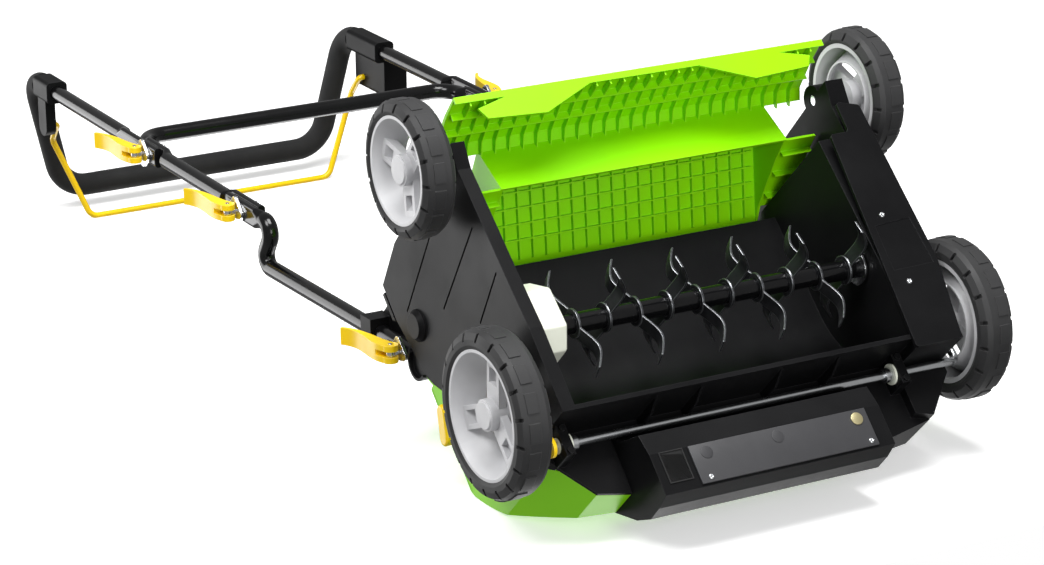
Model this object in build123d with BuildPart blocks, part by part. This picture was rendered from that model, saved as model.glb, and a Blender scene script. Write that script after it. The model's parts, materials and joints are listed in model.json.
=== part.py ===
from build123d import *
import math
import os

# Lawn dethatcher. X runs across the machine, the nose points to -Y, the handle leans back to +Y, Z is up.
# Heights are above the ground, and distances along the machine are measured back from the front axle.

# ---------------------------------------------------------------- driving sizes, millimetres
front_y = -419.845            # where the front axle line lies, so that Y = 0 is the middle of the machine
gap = 0.3                    # between pieces that move past each other
fit = 0.05                   # radial running fit of shafts and pins
wall = 3.0                   # moulded skins
chassis_wall = 4.0           # the deck's structural walls
screw_r = 2.5
screw_head_r = 4.5

# widths that the others hang on
deck_half = 244.5            # outer faces of the deck's side walls

# wheels and axles
front_wheel_r = 90.0
rear_wheel_r = 75.0
wheelbase = 281.0
front_wheel_width = 40.0
rear_wheel_width = 38.5
front_wheel_clear = 19.5     # from the deck's sides to the front tyres
rear_wheel_clear = 16.0
front_rim_r = 69.0
rear_rim_r = 58.5
rim_band = 6.5
hub_boss_r = 17.0
spoke_width = 25.0
spoke_deep = 10.0            # from the back of a spoke to its front at the rim
tread_pad = 1.2              # height of the tread pads
pad_width = 13.0
pad_length = 21.0
slot_width = 4.2
slot_depth = 5.0
axle_r = 4.5
stub_r = 6.0
tread = 2 * (deck_half + front_wheel_clear + front_wheel_width)          # across the outer faces of the wheels
rear_tread = 2 * (deck_half + rear_wheel_clear + rear_wheel_width)

# deck, in plan and height
deck_bottom = 32.0
deck_rear = 284.0
deck_front = -119.0
tray_z = 97.0                # underside of the deck ahead of the working chamber
cheek_thick = 22.5           # hollow cheeks beside the flap
rear_half = deck_half - cheek_thick
chamber_ceiling = 180.0
chamber_front = -32.0
chamber_inset = 15.5         # from the deck's left side to the working chamber
chamber_half_left = deck_half - chamber_inset
case_width = 59.5            # belt case, with its wall
case_wall_x = case_width - deck_half
case_floor = 28.0            # lower face of the belt cover

# rotor
rotor_y = 73.0
rotor_z = 72.0
hood_r = 104.0
rotor_tube_r = 11.0
rotor_shaft_r = 6.0
knife_tip_r = 70.0
knife_count = 10
knife_first_x = chamber_half_left - 57.0
knife_last_x = case_wall_x + 19.5
knife_pitch = (knife_first_x - knife_last_x) / (knife_count - 1)
knife_thick = 2.5
knife_width = 16.0
knife_bow = 9.0
bearing_r = 13.0
bearing_width = 9.0
block_width = 36.0

# motor and belt
motor_y = -74.0
motor_z = 122.0
motor_r = 30.0
motor_shaft_r = 4.0
motor_pulley_r = 13.0
rotor_pulley_r = 24.0
belt_x = -208.0
belt_width = 11.0
belt_thick = 2.5

# rear flap
flap_hinge_y = 205.0
flap_hinge_z = 212.0
flap_pin_r = 3.0
flap_knuckle_r = 6.5
flap_wall = 3.0
flap_upper_half = rear_half - 42.0
flap_lower_half = deck_half - 14.5
flap_wing_half = rear_half - 3.5         # outer edges of the wings, inside the deck's cheeks

# handle
tube_r = 10.0
tube_wall = 1.5
leg_inset = 10.7             # from the deck's sides in to the middle planes of the handle's legs
leg_x = deck_half - leg_inset
tab_height = 25.0            # flattened tube ends
deck_bolt_y = 182.0
deck_bolt_z = 315.0
lower_angle = 46.3
handle_angle = 44.95
s_bend_r = 14.0
lower_run = 375.0            # deck bolt to the first corner of the S bend
elbow_bolt_run = 79.0        # second corner of the S bend to the elbow bolt
middle_run = 276.0           # elbow bolt to knee bolt
upper_run = 397.0            # knee bolt to the grip's first corner
tab_reach = 34.0             # past a bolt to the end of a flattened tube
flat_lead = 40.0             # past a bolt on the other side, to where the tube starts to round out
round_out = 12.0             # length over which a flattened tube becomes round
middle_top = 63.0            # knee bolt to the line of the middle section's cross tube
middle_bend_r = 32.0
grip_drop_y = -107.0         # from the first to the second corner of the grip loop
grip_drop_z = 124.0
grip_half = leg_x - 38.6
grip_bend_r = 35.0
grip_corner_r = 45.0
foam_r = 15.0
bolt_r = 3.0
plug_lip = 2.0

# bail and switch
bail_r = 4.0
bail_pivot_run = 337.0       # knee bolt to the bail's pivot, along the upper tube
bail_offset = 50.0           # from the upper tube's middle to the bail's pivot

# cam levers
lever_length = 82.0
lever_width = 20.0
cam_r = 9.0
cam_pin_r = 2.5

# front axle
crank_y = -53.0
crank_z = 79.0
crank_x = deck_half + 12.5

os.makedirs("parts", exist_ok=True)


def save(piece, label):
    """Label a finished piece and write it to its own file."""
    piece.part.label = label
    export_step(piece.part, f"parts/{label}.step")


def side(x):
    """Upright plane across X: its own axes are distance behind the front axle, and height."""
    return Plane(origin=(x, front_y, 0), x_dir=(0, 1, 0), z_dir=(1, 0, 0))


def level(z):
    """Flat plane at a height: its own axes are X and distance behind the front axle."""
    return Plane(origin=(0, front_y, z), x_dir=(1, 0, 0), z_dir=(0, 0, 1))


def across(y):
    """Upright plane facing forward at a distance behind the front axle: its own axes are X and height."""
    return Plane(origin=(0, front_y + y, 0), x_dir=(1, 0, 0), z_dir=(0, -1, 0))


def at(x, y, z):
    """A point given by X, distance behind the front axle and height."""
    return Vector(x, front_y + y, z)


def axle_plane(x, y, z, out):
    """Plane at a point whose normal runs along X, outward for out = 1 or -1."""
    return Plane(origin=at(x, y, z), x_dir=(0, 1, 0), z_dir=(out, 0, 0))


# ================================================================ wheels
def make_tyre(label, out, outer_x, y, r, rim, width, slots):
    """Tyre: a revolved carcass with slots cut through both shoulders and raised pads by its outer edge."""
    inner_x = outer_x - width
    centre = at(0, y, r)
    with BuildPart() as tyre:
        with BuildSketch(Plane(origin=at(out * inner_x, y, r), x_dir=(out, 0, 0), z_dir=(0, -1, 0))):
            with BuildLine():
                Polyline(
                    (2, rim), (0, rim + 4), (0, r - 11), (4, r - tread_pad - 3), (9, r - tread_pad),
                    (width - 9, r - tread_pad), (width - 3, r - tread_pad - 3), (width, r - 11), (width, rim + 4),
                    (width - 2, rim), close=True,
                )
            make_face()
        revolve(axis=Axis(centre, (1, 0, 0)))
        with BuildSketch(axle_plane(out * (outer_x - 22), y, r, out)):
            with PolarLocations(r - 2, slots, start_angle=180 / slots):
                Rectangle(4, pad_length)
            Circle(r, mode=Mode.INTERSECT)
        extrude(amount=pad_width)
        for start, turn in ((0.0, 0.0), (width, 0.0)):
            depth = slot_depth if start == 0 else -slot_depth
            with BuildSketch(axle_plane(out * (inner_x + start), y, r, out)):
                with PolarLocations(r - 4, slots, start_angle=turn):
                    Rectangle(18, slot_width)
            extrude(amount=depth, mode=Mode.SUBTRACT)
    save(tyre, label)


def make_hub(label, out, outer_x, y, r, rim, width, bore, first_spoke):
    """Hub: rim band, a cone that narrows towards the inside, three broad spokes and a capped boss."""
    inner_x = outer_x - width
    small = 0.62 * rim
    centre = at(out * inner_x, y, r)
    with BuildPart() as hub:
        with BuildSketch(Plane(origin=centre, x_dir=(out, 0, 0), z_dir=(0, -1, 0))):
            with BuildLine():
                Polyline(
                    (2, rim - fit), (width - 2, rim - fit), (width - 2, rim - 3.5), (9, small), (6, small),
                    (6, small + 2.2), (width - 9, rim - rim_band), (2, rim - 5), close=True,
                )
            make_face()
        revolve(axis=Axis(centre, (1, 0, 0)))
        floor = 0.42 * width
        cone_rise = (rim - 3.5 - small) / (width - 11)
        for k in range(3):
            turn = math.radians(first_spoke + 120 * k)
            reach = Vector(0, math.cos(turn), math.sin(turn))
            spoke_plane = Plane(origin=centre, x_dir=(out, 0, 0), z_dir=Vector(out, 0, 0).cross(reach))
            foot = small + (floor - 9) * cone_rise + 1
            brow = small + (floor + spoke_deep - 9) * cone_rise + 1
            with BuildSketch(spoke_plane):
                with BuildLine():
                    Polyline(
                        (floor, bore + 3), (floor, foot), (floor + spoke_deep, brow), (floor + spoke_deep + 1.5, brow),
                        (floor + spoke_deep - 2, bore + 3), close=True,
                    )
                make_face()
            extrude(amount=spoke_width / 2, both=True)
            # pocket in the outer end of the spoke
            with BuildSketch(spoke_plane):
                with BuildLine():
                    Polyline(
                        (floor + 4, small - 8), (floor + 4, foot - 4), (floor + spoke_deep + 8, brow), 
                        (floor + spoke_deep + 8, small - 10), close=True,
                    )
                make_face()
            extrude(amount=spoke_width / 2 - 5, both=True, mode=Mode.SUBTRACT)
        with BuildSketch(axle_plane(out * (inner_x + 4), y, r, out)):
            Circle(hub_boss_r)
        extrude(amount=width - 10)
        with BuildSketch(axle_plane(out * (outer_x - 6), y, r, out)):
            Circle(hub_boss_r - 2)
        extrude(amount=2, taper=20)
        with BuildSketch(axle_plane(out * (inner_x + 4), y, r, out)):
            Circle(bore + fit)
        extrude(amount=width - 15, mode=Mode.SUBTRACT)
    save(hub, label)


for name, out in (("left", 1), ("right", -1)):
    make_tyre(f"front_tyre_{name}", out, tread / 2, 0.0, front_wheel_r, front_rim_r, front_wheel_width, 18)
    make_hub(
        f"front_hub_{name}", out, tread / 2, 0.0, front_wheel_r, front_rim_r, front_wheel_width, axle_r, -53,
    )
    make_tyre(f"rear_tyre_{name}", out, rear_tread / 2, wheelbase, rear_wheel_r, rear_rim_r, rear_wheel_width, 16)
    make_hub(
        f"rear_hub_{name}", out, rear_tread / 2, wheelbase, rear_wheel_r, rear_rim_r, rear_wheel_width, stub_r, 31,
    )

# ================================================================ front axle
axle_end = tread / 2 - 12.0
with BuildPart() as front_axle:
    with BuildLine() as axle_path:
        FilletPolyline(
            at(-axle_end, 0, front_wheel_r), at(-crank_x - 3, 0, front_wheel_r), at(-crank_x, crank_y, crank_z),
            at(crank_x, crank_y, crank_z), at(crank_x + 3, 0, front_wheel_r), at(axle_end, 0, front_wheel_r),
            radius=8,
        )
    with BuildSketch(axle_path.line ^ 0):
        Circle(axle_r)
    sweep()
save(front_axle, "front_axle")

# inner end, outward sense and length of the bushes that carry the crank under the deck
bush_length = 14.0
bush_flange = 2.5
bush_r = axle_r + 4.0
bush_seats = ((deck_half - 18.5, 1), (case_wall_x + 15.0, -1))

# stop collars that keep the crank between its bushes
with BuildPart() as axle_collars:
    for inner_x, out in bush_seats:
        with BuildSketch(axle_plane(inner_x - out * (gap + 8.0), crank_y, crank_z, out)):
            Circle(axle_r + 3.5)
            Circle(axle_r + fit, mode=Mode.SUBTRACT)
        extrude(amount=8.0)
save(axle_collars, "axle_collars")

with BuildPart() as axle_bushes:
    for inner_x, out in bush_seats:
        with BuildSketch(axle_plane(inner_x, crank_y, crank_z, out)):
            Circle(bush_r)
            Circle(axle_r + fit, mode=Mode.SUBTRACT)
        extrude(amount=bush_length)
        with BuildSketch(axle_plane(inner_x, crank_y, crank_z, out)):
            Circle(bush_r + 3.0)
            Circle(axle_r + fit, mode=Mode.SUBTRACT)
        extrude(amount=bush_flange)
save(axle_bushes, "axle_bushes")

nose_left = 168.0
nose_right = -112.0
nose_top = 160.0
nose_join = -99.0            # how far back the motor housing reaches above the tray
motor_open_rear = -44.0      # rear edge of the motor's opening in the tray

# ================================================================ chassis
# plan outline of the deck, from the left rear corner round the nose to the right rear corner
deck_outline = [
    (deck_half, deck_rear), (deck_half, -62), (206, -106), (140, deck_front), (-140, deck_front),
    (-206, -106), (-deck_half, -62), (-deck_half, 10), (-deck_half - 10, 48), (-deck_half, deck_rear),
]
tray_top = tray_z + chassis_wall
# the line where the green cover meets the deck, from the front rim to the rear corner
parting_line = [(-130, tray_top), (-72, tray_top), (-20, 152), (118, 271), (132, 280), (212, 298), (256, 298)]
case_front = crank_y + 7.0           # the belt case passes behind the crank and over it
case_over_crank = crank_z + axle_r + 1.5
case_side = case_wall_x - chassis_wall
case_outer = -deck_half + chassis_wall
case_rear = 120.0
lug_half = 17.0
cap_y = 182.0
cap_z = 254.0
cap_r = 18.0
rib_wall = 2.5
gusset_front = crank_y + axle_r + 3.0


def chamber_outline(r, ceiling, rear_top):
    """Side outline of the space the rotor works in: front wall, arc over the rotor, ceiling to the flap."""
    with BuildSketch() as shape:
        with BuildLine():
            front = Line((rotor_y - r, 0), (rotor_y - r, rotor_z))
            over = CenterArc((rotor_y, rotor_z), r, 180, -90)
            lid = Polyline(
                over @ 1, (flap_hinge_y - 8, ceiling), (flap_hinge_y - 8, rear_top), (deck_rear + 40, rear_top),
                (deck_rear + 40, 0),
            )
            Line(lid @ 1, front @ 0)
        make_face()
    return shape.sketch


chamber = chamber_outline(hood_r, chamber_ceiling, flap_hinge_z + 10)
with BuildPart() as chassis:
    # outer block: the plan outline, trimmed by its side profile
    with BuildSketch(level(0)):
        Polygon(*deck_outline, align=None)
    extrude(amount=300)
    with BuildSketch(side(0)):
        with BuildLine():
            Polyline(
                (chamber_front - chassis_wall, deck_bottom), (chamber_front - chassis_wall, tray_z),
                (-130, tray_z), *parting_line, (275, 236), (deck_rear, deck_bottom + 6),
                (256, 46), (107, deck_bottom + 4), (60, deck_bottom), close=True,
            )
        make_face()
    extrude(amount=deck_half + 20, both=True, mode=Mode.INTERSECT)
    # room above the tray and the hood, open at the top
    with BuildSketch(side(0)):
        with BuildLine():
            tray = Line((-112, tray_top), (rotor_y - (hood_r + chassis_wall) * math.cos(math.radians(15)), tray_top))
            over = CenterArc((rotor_y, rotor_z), hood_r + chassis_wall, 165, -75)
            step = Line(tray @ 1, over @ 0)
            rest = Polyline(
                over @ 1, (flap_hinge_y - 12, chamber_ceiling + chassis_wall), (flap_hinge_y - 12, flap_hinge_z + 14),
                (deck_rear - 14, flap_hinge_z + 14), (deck_rear - 14, 400), (-112, 400), tray @ 0,
            )
        make_face()
    extrude(amount=deck_half - chassis_wall - 2, both=True, mode=Mode.SUBTRACT)
    # working chamber between the left wall and the belt case
    with BuildSketch(side(chamber_half_left)):
        add(chamber)
    extrude(amount=-(chamber_half_left - case_wall_x), mode=Mode.SUBTRACT)
    # flap bay between the rear cheeks
    with BuildSketch(side(0)):
        with BuildLine():
            Polyline(
                (216, 0), (216, 200), (206, flap_hinge_z + flap_knuckle_r - 0.5), (206, 300), (deck_rear + 2, 300),
                (deck_rear + 2, 0), close=True,
            )
        make_face()
    extrude(amount=rear_half, both=True, mode=Mode.SUBTRACT)
    # belt case: forward end over the crank, bearing boss, then the pocket for belt and pulleys
    case_plan = [
        (case_wall_x, 0), (case_wall_x, -100), (-206, -106 + 0.5), (-deck_half, -62 + 0.5), (-deck_half, 0),
    ]
    pocket_plan = [(case_side, case_rear), (case_side, -95), (-209, -95), (case_outer, -59), (case_outer, case_rear)]
    with BuildSketch(level(case_over_crank)):
        Polygon(*case_plan, align=None)
    extrude(amount=tray_top - case_over_crank)
    with BuildSketch(level(deck_bottom)):
        with Locations(((case_wall_x - deck_half) / 2, (case_front + chamber_front) / 2)):
            Rectangle(deck_half + case_wall_x, chamber_front - case_front)
    extrude(amount=tray_top - deck_bottom)
    with BuildSketch(level(case_over_crank + 3)):
        Polygon(*pocket_plan, align=None)
    extrude(amount=155 - case_over_crank, mode=Mode.SUBTRACT)
    with BuildSketch(level(0)):
        with Locations(((case_side + case_outer) / 2, (case_front + chassis_wall + case_rear) / 2)):
            Rectangle(case_side - case_outer, case_rear - case_front - chassis_wall)
    extrude(amount=140, mode=Mode.SUBTRACT)
    with BuildSketch(axle_plane(case_wall_x, rotor_y, rotor_z, -1)):
        Circle(bearing_r + 4)
    extrude(amount=chassis_wall + bearing_width)
    with BuildSketch(axle_plane(case_wall_x - chassis_wall, rotor_y, rotor_z, -1)):
        Circle(bearing_r)
    extrude(amount=bearing_width, mode=Mode.SUBTRACT)
    with BuildSketch(axle_plane(0, rotor_y, rotor_z, -1)):
        Circle(rotor_shaft_r + 1.5)
    extrude(amount=-case_outer - 1, mode=Mode.SUBTRACT)
    # motor opening in the tray
    with BuildSketch(level(tray_z - 1)):
        with Locations(((nose_left + nose_right) / 2, (nose_join + motor_open_rear) / 2)):
            Rectangle(nose_left - nose_right - 2 * wall, motor_open_rear - nose_join)
        with Locations(((nose_left + nose_right) / 2, (deck_front + nose_join) / 2)):
            Rectangle(nose_left - nose_right + 2 * gap, nose_join - deck_front)
    extrude(amount=chassis_wall + 1, mode=Mode.SUBTRACT)
    # rear axle bosses and their bores
    for out in (1, -1):
        with BuildSketch(axle_plane(out * rear_half, wheelbase, rear_wheel_r, out)):
            Circle(17)
        extrude(amount=deck_half + 4 - rear_half)
        with BuildSketch(axle_plane(out * rear_half, wheelbase, rear_wheel_r, out)):
            Circle(stub_r)
        extrude(amount=deck_half + 5 - rear_half, mode=Mode.SUBTRACT)
    # lugs that hang under the tray and hold the upper halves of the bushes
    for inner_x, out in bush_seats:
        with BuildSketch(axle_plane(inner_x + out * (bush_flange + gap), crank_y, crank_z, out)):
            with Locations((0, out * (tray_z - crank_z) / 2)):
                Rectangle(2 * lug_half, tray_z - crank_z)
            Circle(bush_r, mode=Mode.SUBTRACT)
        extrude(amount=bush_length - bush_flange - 2 * gap)
    # bores for the flap's hinge pins
    with BuildSketch(axle_plane(0, flap_hinge_y, flap_hinge_z, 1)):
        Circle(flap_pin_r)
    extrude(amount=deck_half - 3, both=True, mode=Mode.SUBTRACT)
    # domed caps on the outer faces of the side walls, under the handle mounts
    for out in (1, -1):
        with BuildSketch(axle_plane(out * (deck_half - 2), cap_y, cap_z, out)):
            Circle(cap_r)
        extrude(amount=4)
        with BuildSketch(axle_plane(out * (deck_half + 2), cap_y, cap_z, out)):
            Circle(cap_r)
        extrude(amount=5, taper=40)
    # gussets on the front of the chamber's front wall
    for x in (130, 76, -22, -94):
        with BuildSketch(side(x)):
            with BuildLine():
                Polyline(
                    (chamber_front - chassis_wall + 1, tray_z + 1), (gusset_front, tray_z + 1), (gusset_front, 66),
                    (chamber_front - chassis_wall + 1, deck_bottom + 4), close=True,
                )
            make_face()
        extrude(amount=rib_wall / 2, both=True)
    # slanted grooves on the outer faces of the side walls
    for foot, head in (((237, 159), (206, 266)), ((196, 64), (166, 186)), ((136, 53), (115, 123))):
        run = Vector(*head) - Vector(*foot)
        middle = (Vector(*head) + Vector(*foot)) * 0.5
        with BuildSketch(side(deck_half)):
            with Locations((middle.X, middle.Y)):
                SlotCenterToCenter(run.length, 2.4, rotation=math.degrees(math.atan2(run.Y, run.X)))
        extrude(amount=-1.2, mode=Mode.SUBTRACT)
save(chassis, "chassis")

# ================================================================ green top cover
cover_seat = [(y, z + gap) for y, z in parting_line]


def cover_block(inset):
    """The cover's closed outer form, or the hollow inside it when inset by the wall."""
    with BuildPart() as block:
        with BuildSketch(level(0)):
            Polygon(*deck_outline, align=None)
            if inset:
                offset(amount=-inset, kind=Kind.INTERSECTION)
        extrude(amount=360)
        with BuildSketch(side(0)):
            with BuildLine():
                seat = Polyline(*[(y, z - inset) for y, z in cover_seat])
                back = Line(seat @ 1, (256 - inset, 304 - inset))
                top = Spline(
                    back @ 1, (215, 324 - inset), (150, 334 - inset), (60, 320 - inset), (-20, 272 - inset),
                    (-75, 205 - inset), (-130 + inset, 118 - inset),
                )
                Line(top @ 1, seat @ 0)
            make_face()
        extrude(amount=deck_half + 20, both=True, mode=Mode.INTERSECT)
        with BuildSketch(across(0)):
            with BuildLine():
                half = deck_half + 14 - inset
                edge = Polyline((-half, 0), (-half, 225), (-half + 16, 285), (-216 + inset, 304 - inset))
                crown = ThreePointArc(edge @ 1, (0, 346 - inset), (216 - inset, 304 - inset))
                Polyline(crown @ 1, (half - 16, 285), (half, 225), (half, 0), (-half, 0))
            make_face()
        extrude(amount=400, both=True, mode=Mode.INTERSECT)
    return block.part


def seat_slope(y):
    """Height of the line between deck and cover at a distance behind the front axle."""
    for (y0, z0), (y1, z1) in zip(parting_line, parting_line[1:]):
        if y0 <= y <= y1:
            return z0 + (z1 - z0) * (y - y0) / (y1 - y0)
    return parting_line[-1][1]


mount_inner = leg_x - tube_r - gap - 10.0    # inner face of the handle mounts' cheeks
shelf_x = mount_inner - 12.0                  # side walls of the cover's shelves
shelf_front = 118.0
shelf_rear = 252.0
shelf_rise = 2.5
with BuildPart() as cover_shell:
    add(cover_block(0))
    # shelves for the handle mounts, one on each side
    for out in (1, -1):
        with BuildSketch(side(out * shelf_x)):
            with BuildLine():
                Polyline(
                    (shelf_front, seat_slope(shelf_front) + shelf_rise), (132, seat_slope(132) + shelf_rise),
                    (212, seat_slope(212) + shelf_rise), (shelf_rear + 10, seat_slope(shelf_rear) + shelf_rise),
                    (shelf_rear + 10, 400), (shelf_front, 400), close=True,
                )
            make_face()
        extrude(amount=out * 60, mode=Mode.SUBTRACT)
    add(cover_block(wall), mode=Mode.SUBTRACT)
    # shelf skin, side walls of the shelves and the rear apron
    for out in (1, -1):
        with BuildSketch(side(out * (shelf_x - wall))):
            with BuildLine():
                Polyline(
                    (shelf_front - wall, seat_slope(shelf_front)), (shelf_front - wall, 296), (132, 326), (200, 326),
                    (shelf_rear, 300), (212, seat_slope(212) + gap), (132, seat_slope(132) + gap), close=True,
                )
            make_face()
        extrude(amount=out * wall)
    with BuildSketch(side(0)):
        with BuildLine():
            Polyline((254, 298.5), (256, 304), (252, 305), (206, 229), (206, 226.3), (209.5, 226.3), close=True)
        make_face()
    extrude(amount=shelf_x - 1, both=True)
    # opening that the motor housing fills
    with BuildSketch(level(tray_z)):
        with Locations(((nose_left + nose_right) / 2, (deck_front + nose_join) / 2)):
            Rectangle(nose_left - nose_right + 2 * gap, nose_join - deck_front + 0.01)
    extrude(amount=nose_top + 2 - tray_z, mode=Mode.SUBTRACT)


def hood_corner():
    """The right front corner, over the belt, where a black hood takes the place of the green cover."""
    with BuildPart() as corner:
        with BuildSketch(level(tray_z)):
            with Locations(((nose_right - deck_half - 20) / 2, (deck_front - 10 + hood_back) / 2)):
                Rectangle(nose_right + deck_half + 20, hood_back - deck_front + 10)
        extrude(amount=260)
    return corner.part


hood_back = -26.0
with BuildPart() as top_cover:
    add(cover_shell)
    add(hood_corner(), mode=Mode.SUBTRACT)
save(top_cover, "top_cover")

with BuildPart() as belt_hood:
    add(cover_shell)
    add(hood_corner(), mode=Mode.INTERSECT)
save(belt_hood, "belt_hood")

# ================================================================ motor housing, motor and its cover
nose_bottom = 37.0
cover_plate = 3.0

nose_outline = [
    (-46, tray_z - gap), (-49, tray_z - gap), (-63, 79), (-74, nose_bottom + 6), (-99, nose_bottom),
    (-145, nose_bottom), (-149, 60), (-150, 84), (-139, 110), (nose_join - 4, nose_top), (nose_join - gap, nose_top - 3),
    (nose_join - gap, tray_z - gap),
]
nose_hollow = [
    (-40, tray_z), (-51, tray_z), (-66, 79), (-77, nose_bottom + 9), (-99, nose_bottom + wall),
    (-142, nose_bottom + wall), (-145.5, 60), (-146.5, 84), (-135, 108), (nose_join - 2, nose_top - 7),
    (nose_join + 1, nose_top - 5), (nose_join + 1, tray_z), 
]
with BuildPart() as motor_housing:
    with BuildSketch(side(nose_right)):
        with BuildLine():
            Polyline(*nose_outline, close=True)
        make_face()
    extrude(amount=nose_left - nose_right)
    with BuildSketch(side(nose_right + wall)):
        with BuildLine():
            Polyline(*nose_hollow, close=True)
        make_face()
    extrude(amount=nose_left - nose_right - 2 * wall, mode=Mode.SUBTRACT)
    # service opening under the motor
    with BuildSketch(level(nose_bottom - 1)):
        with Locations((16, -121)):
            RectangleRounded(190, 34, 5)
    extrude(amount=wall + 2, mode=Mode.SUBTRACT)
save(motor_housing, "motor_housing")

with BuildPart() as motor_cover:
    with BuildSketch(level(nose_bottom)):
        with Locations((16, -121)):
            RectangleRounded(216, 43, 6)
    extrude(amount=-cover_plate)
    fillet(motor_cover.faces().sort_by(Axis.Z)[0].edges(), radius=1)
    with BuildSketch(level(nose_bottom)):
        with Locations((16, -121)):
            RectangleRounded(190 - 2 * gap, 34 - 2 * gap, 5)
            RectangleRounded(184 - 2 * gap, 28 - 2 * gap, 4, mode=Mode.SUBTRACT)
    extrude(amount=wall)
    with BuildSketch(level(nose_bottom - cover_plate)):
        with GridLocations(12, 0, 5, 1):
            with Locations((-10, -121)):
                SlotOverall(20, 4, rotation=90)
    extrude(amount=cover_plate, mode=Mode.SUBTRACT)
save(motor_cover, "motor_cover")

motor_right = -92.0
motor_left = 62.0
with BuildPart() as motor:
    with BuildSketch(axle_plane(motor_right, motor_y, motor_z, 1)):
        Circle(motor_r)
    extrude(amount=motor_left - motor_right)
    chamfer(motor.edges().filter_by(GeomType.CIRCLE), length=3)
    for out, end in ((-1, motor_right), (1, motor_left)):
        with BuildSketch(axle_plane(end, motor_y, motor_z, out)):
            Circle(14)
        extrude(amount=8)
    # feet that rest on the tray either side of its opening
    with BuildSketch(level(tray_top)):
        with Locations((-80, motor_y + 24), (50, motor_y + 24)):
            Rectangle(16, 30)
    extrude(amount=12)
    with BuildSketch(axle_plane(motor_right - 8, motor_y, motor_z, 1)):
        Circle(motor_shaft_r + fit)
    extrude(amount=motor_left - motor_right + 16, mode=Mode.SUBTRACT)
save(motor, "motor")

with BuildPart() as motor_shaft:
    with BuildSketch(axle_plane(belt_x - 12, motor_y, motor_z, 1)):
        Circle(motor_shaft_r)
    extrude(amount=motor_left + 6 - belt_x + 12)
save(motor_shaft, "motor_shaft")


def make_pulley(label, y, z, r, bore):
    """Flat-belt pulley with two flanges and a hub."""
    half = belt_width / 2 + 0.5
    with BuildPart() as pulley:
        with BuildSketch(Plane(origin=at(belt_x, y, z), x_dir=(1, 0, 0), z_dir=(0, -1, 0))):
            with BuildLine():
                Polyline(
                    (-half - 2, bore), (half + 2, bore), (half + 2, r + 2.5), (half, r + 2.5), (half, r), (-half, r),
                    (-half, r + 2.5), (-half - 2, r + 2.5), close=True,
                )
            make_face()
        revolve(axis=Axis(at(belt_x, y, z), (1, 0, 0)))
    save(pulley, label)


make_pulley("motor_pulley", motor_y, motor_z, motor_pulley_r, motor_shaft_r + fit)
make_pulley("rotor_pulley", rotor_y, rotor_z, rotor_pulley_r, rotor_shaft_r + fit)

with BuildPart() as drive_belt:
    for extra, mode in ((gap + belt_thick, Mode.ADD), (gap, Mode.SUBTRACT)):
        with BuildSketch(side(belt_x - belt_width / 2)):
            with Locations((motor_y, motor_z)):
                Circle(motor_pulley_r + extra)
            with Locations((rotor_y, rotor_z)):
                Circle(rotor_pulley_r + extra)
            make_hull()
        extrude(amount=belt_width, mode=mode)
save(drive_belt, "drive_belt")

# plate that closes the belt case from below
with BuildPart() as belt_cover:
    with BuildSketch(level(case_floor)):
        with BuildLine():
            Polyline(
                (case_wall_x + 4, case_front - 2), (case_wall_x - 7, 214), (-216, 214), (-216, 252), (-deck_half + 1, 244),
                (-deck_half - 9, 48), (-deck_half + 4, case_front - 2), close=True,
            )
        make_face()
    extrude(amount=deck_bottom - case_floor)
    fillet(belt_cover.edges().filter_by(Axis.Z), radius=4)
    with BuildSketch(level(case_floor)):
        with BuildLine():
            Polyline((-196, 98), (-242, 101), (-247, 44), (-195, 43), close=True)
        make_face()
    extrude(amount=1.0, mode=Mode.SUBTRACT)
save(belt_cover, "belt_cover")

# ================================================================ rotor
block_inner = chamber_half_left - gap - block_width
with BuildPart() as bearing_block:
    with BuildSketch(side(block_inner)):
        with BuildLine():
            Polyline((42, 66), (62, 46), (108, 50), (132, 84), (132, 114), (100, 121), (60, 118), (42, 100), close=True)
        make_face()
    extrude(amount=block_width)
    fillet(bearing_block.edges().filter_by(Axis.X), radius=4)
    chamfer(bearing_block.faces().sort_by(Axis.X)[0].edges(), length=2)
    with BuildSketch(axle_plane(block_inner + 12, rotor_y, rotor_z, 1)):
        Circle(bearing_r)
    extrude(amount=block_width - 12, mode=Mode.SUBTRACT)
    with BuildSketch(axle_plane(block_inner, rotor_y, rotor_z, 1)):
        Circle(rotor_shaft_r + 1.5)
    extrude(amount=12, mode=Mode.SUBTRACT)
save(bearing_block, "bearing_block")

with BuildPart() as rotor_bearings:
    for start, out in ((block_inner + 12, 1), (case_wall_x - chassis_wall, -1)):
        with BuildSketch(axle_plane(start, rotor_y, rotor_z, out)):
            Circle(bearing_r - 0.02)
            Circle(rotor_shaft_r + fit, mode=Mode.SUBTRACT)
        extrude(amount=bearing_width)
save(rotor_bearings, "rotor_bearings")

with BuildPart() as rotor_shaft:
    with BuildSketch(axle_plane(belt_x - 14, rotor_y, rotor_z, 1)):
        Circle(rotor_shaft_r)
    extrude(amount=block_inner + 12 + bearing_width + 2 - belt_x + 14)
save(rotor_shaft, "rotor_shaft")

tube_left = block_inner - 1.0
tube_right = case_wall_x + 1.5
disc_thick = 2.5
with BuildPart() as rotor_tube:
    with BuildSketch(axle_plane(tube_left, rotor_y, rotor_z, -1)):
        Circle(rotor_tube_r)
        Circle(rotor_shaft_r + fit, mode=Mode.SUBTRACT)
    extrude(amount=tube_left - tube_right - disc_thick)
save(rotor_tube, "rotor_tube")

with BuildPart() as rotor_end_disc:
    with BuildSketch(axle_plane(tube_right, rotor_y, rotor_z, 1)):
        Circle(19)
        Circle(rotor_shaft_r + fit, mode=Mode.SUBTRACT)
    extrude(amount=disc_thick)
save(rotor_end_disc, "rotor_end_disc")


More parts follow.
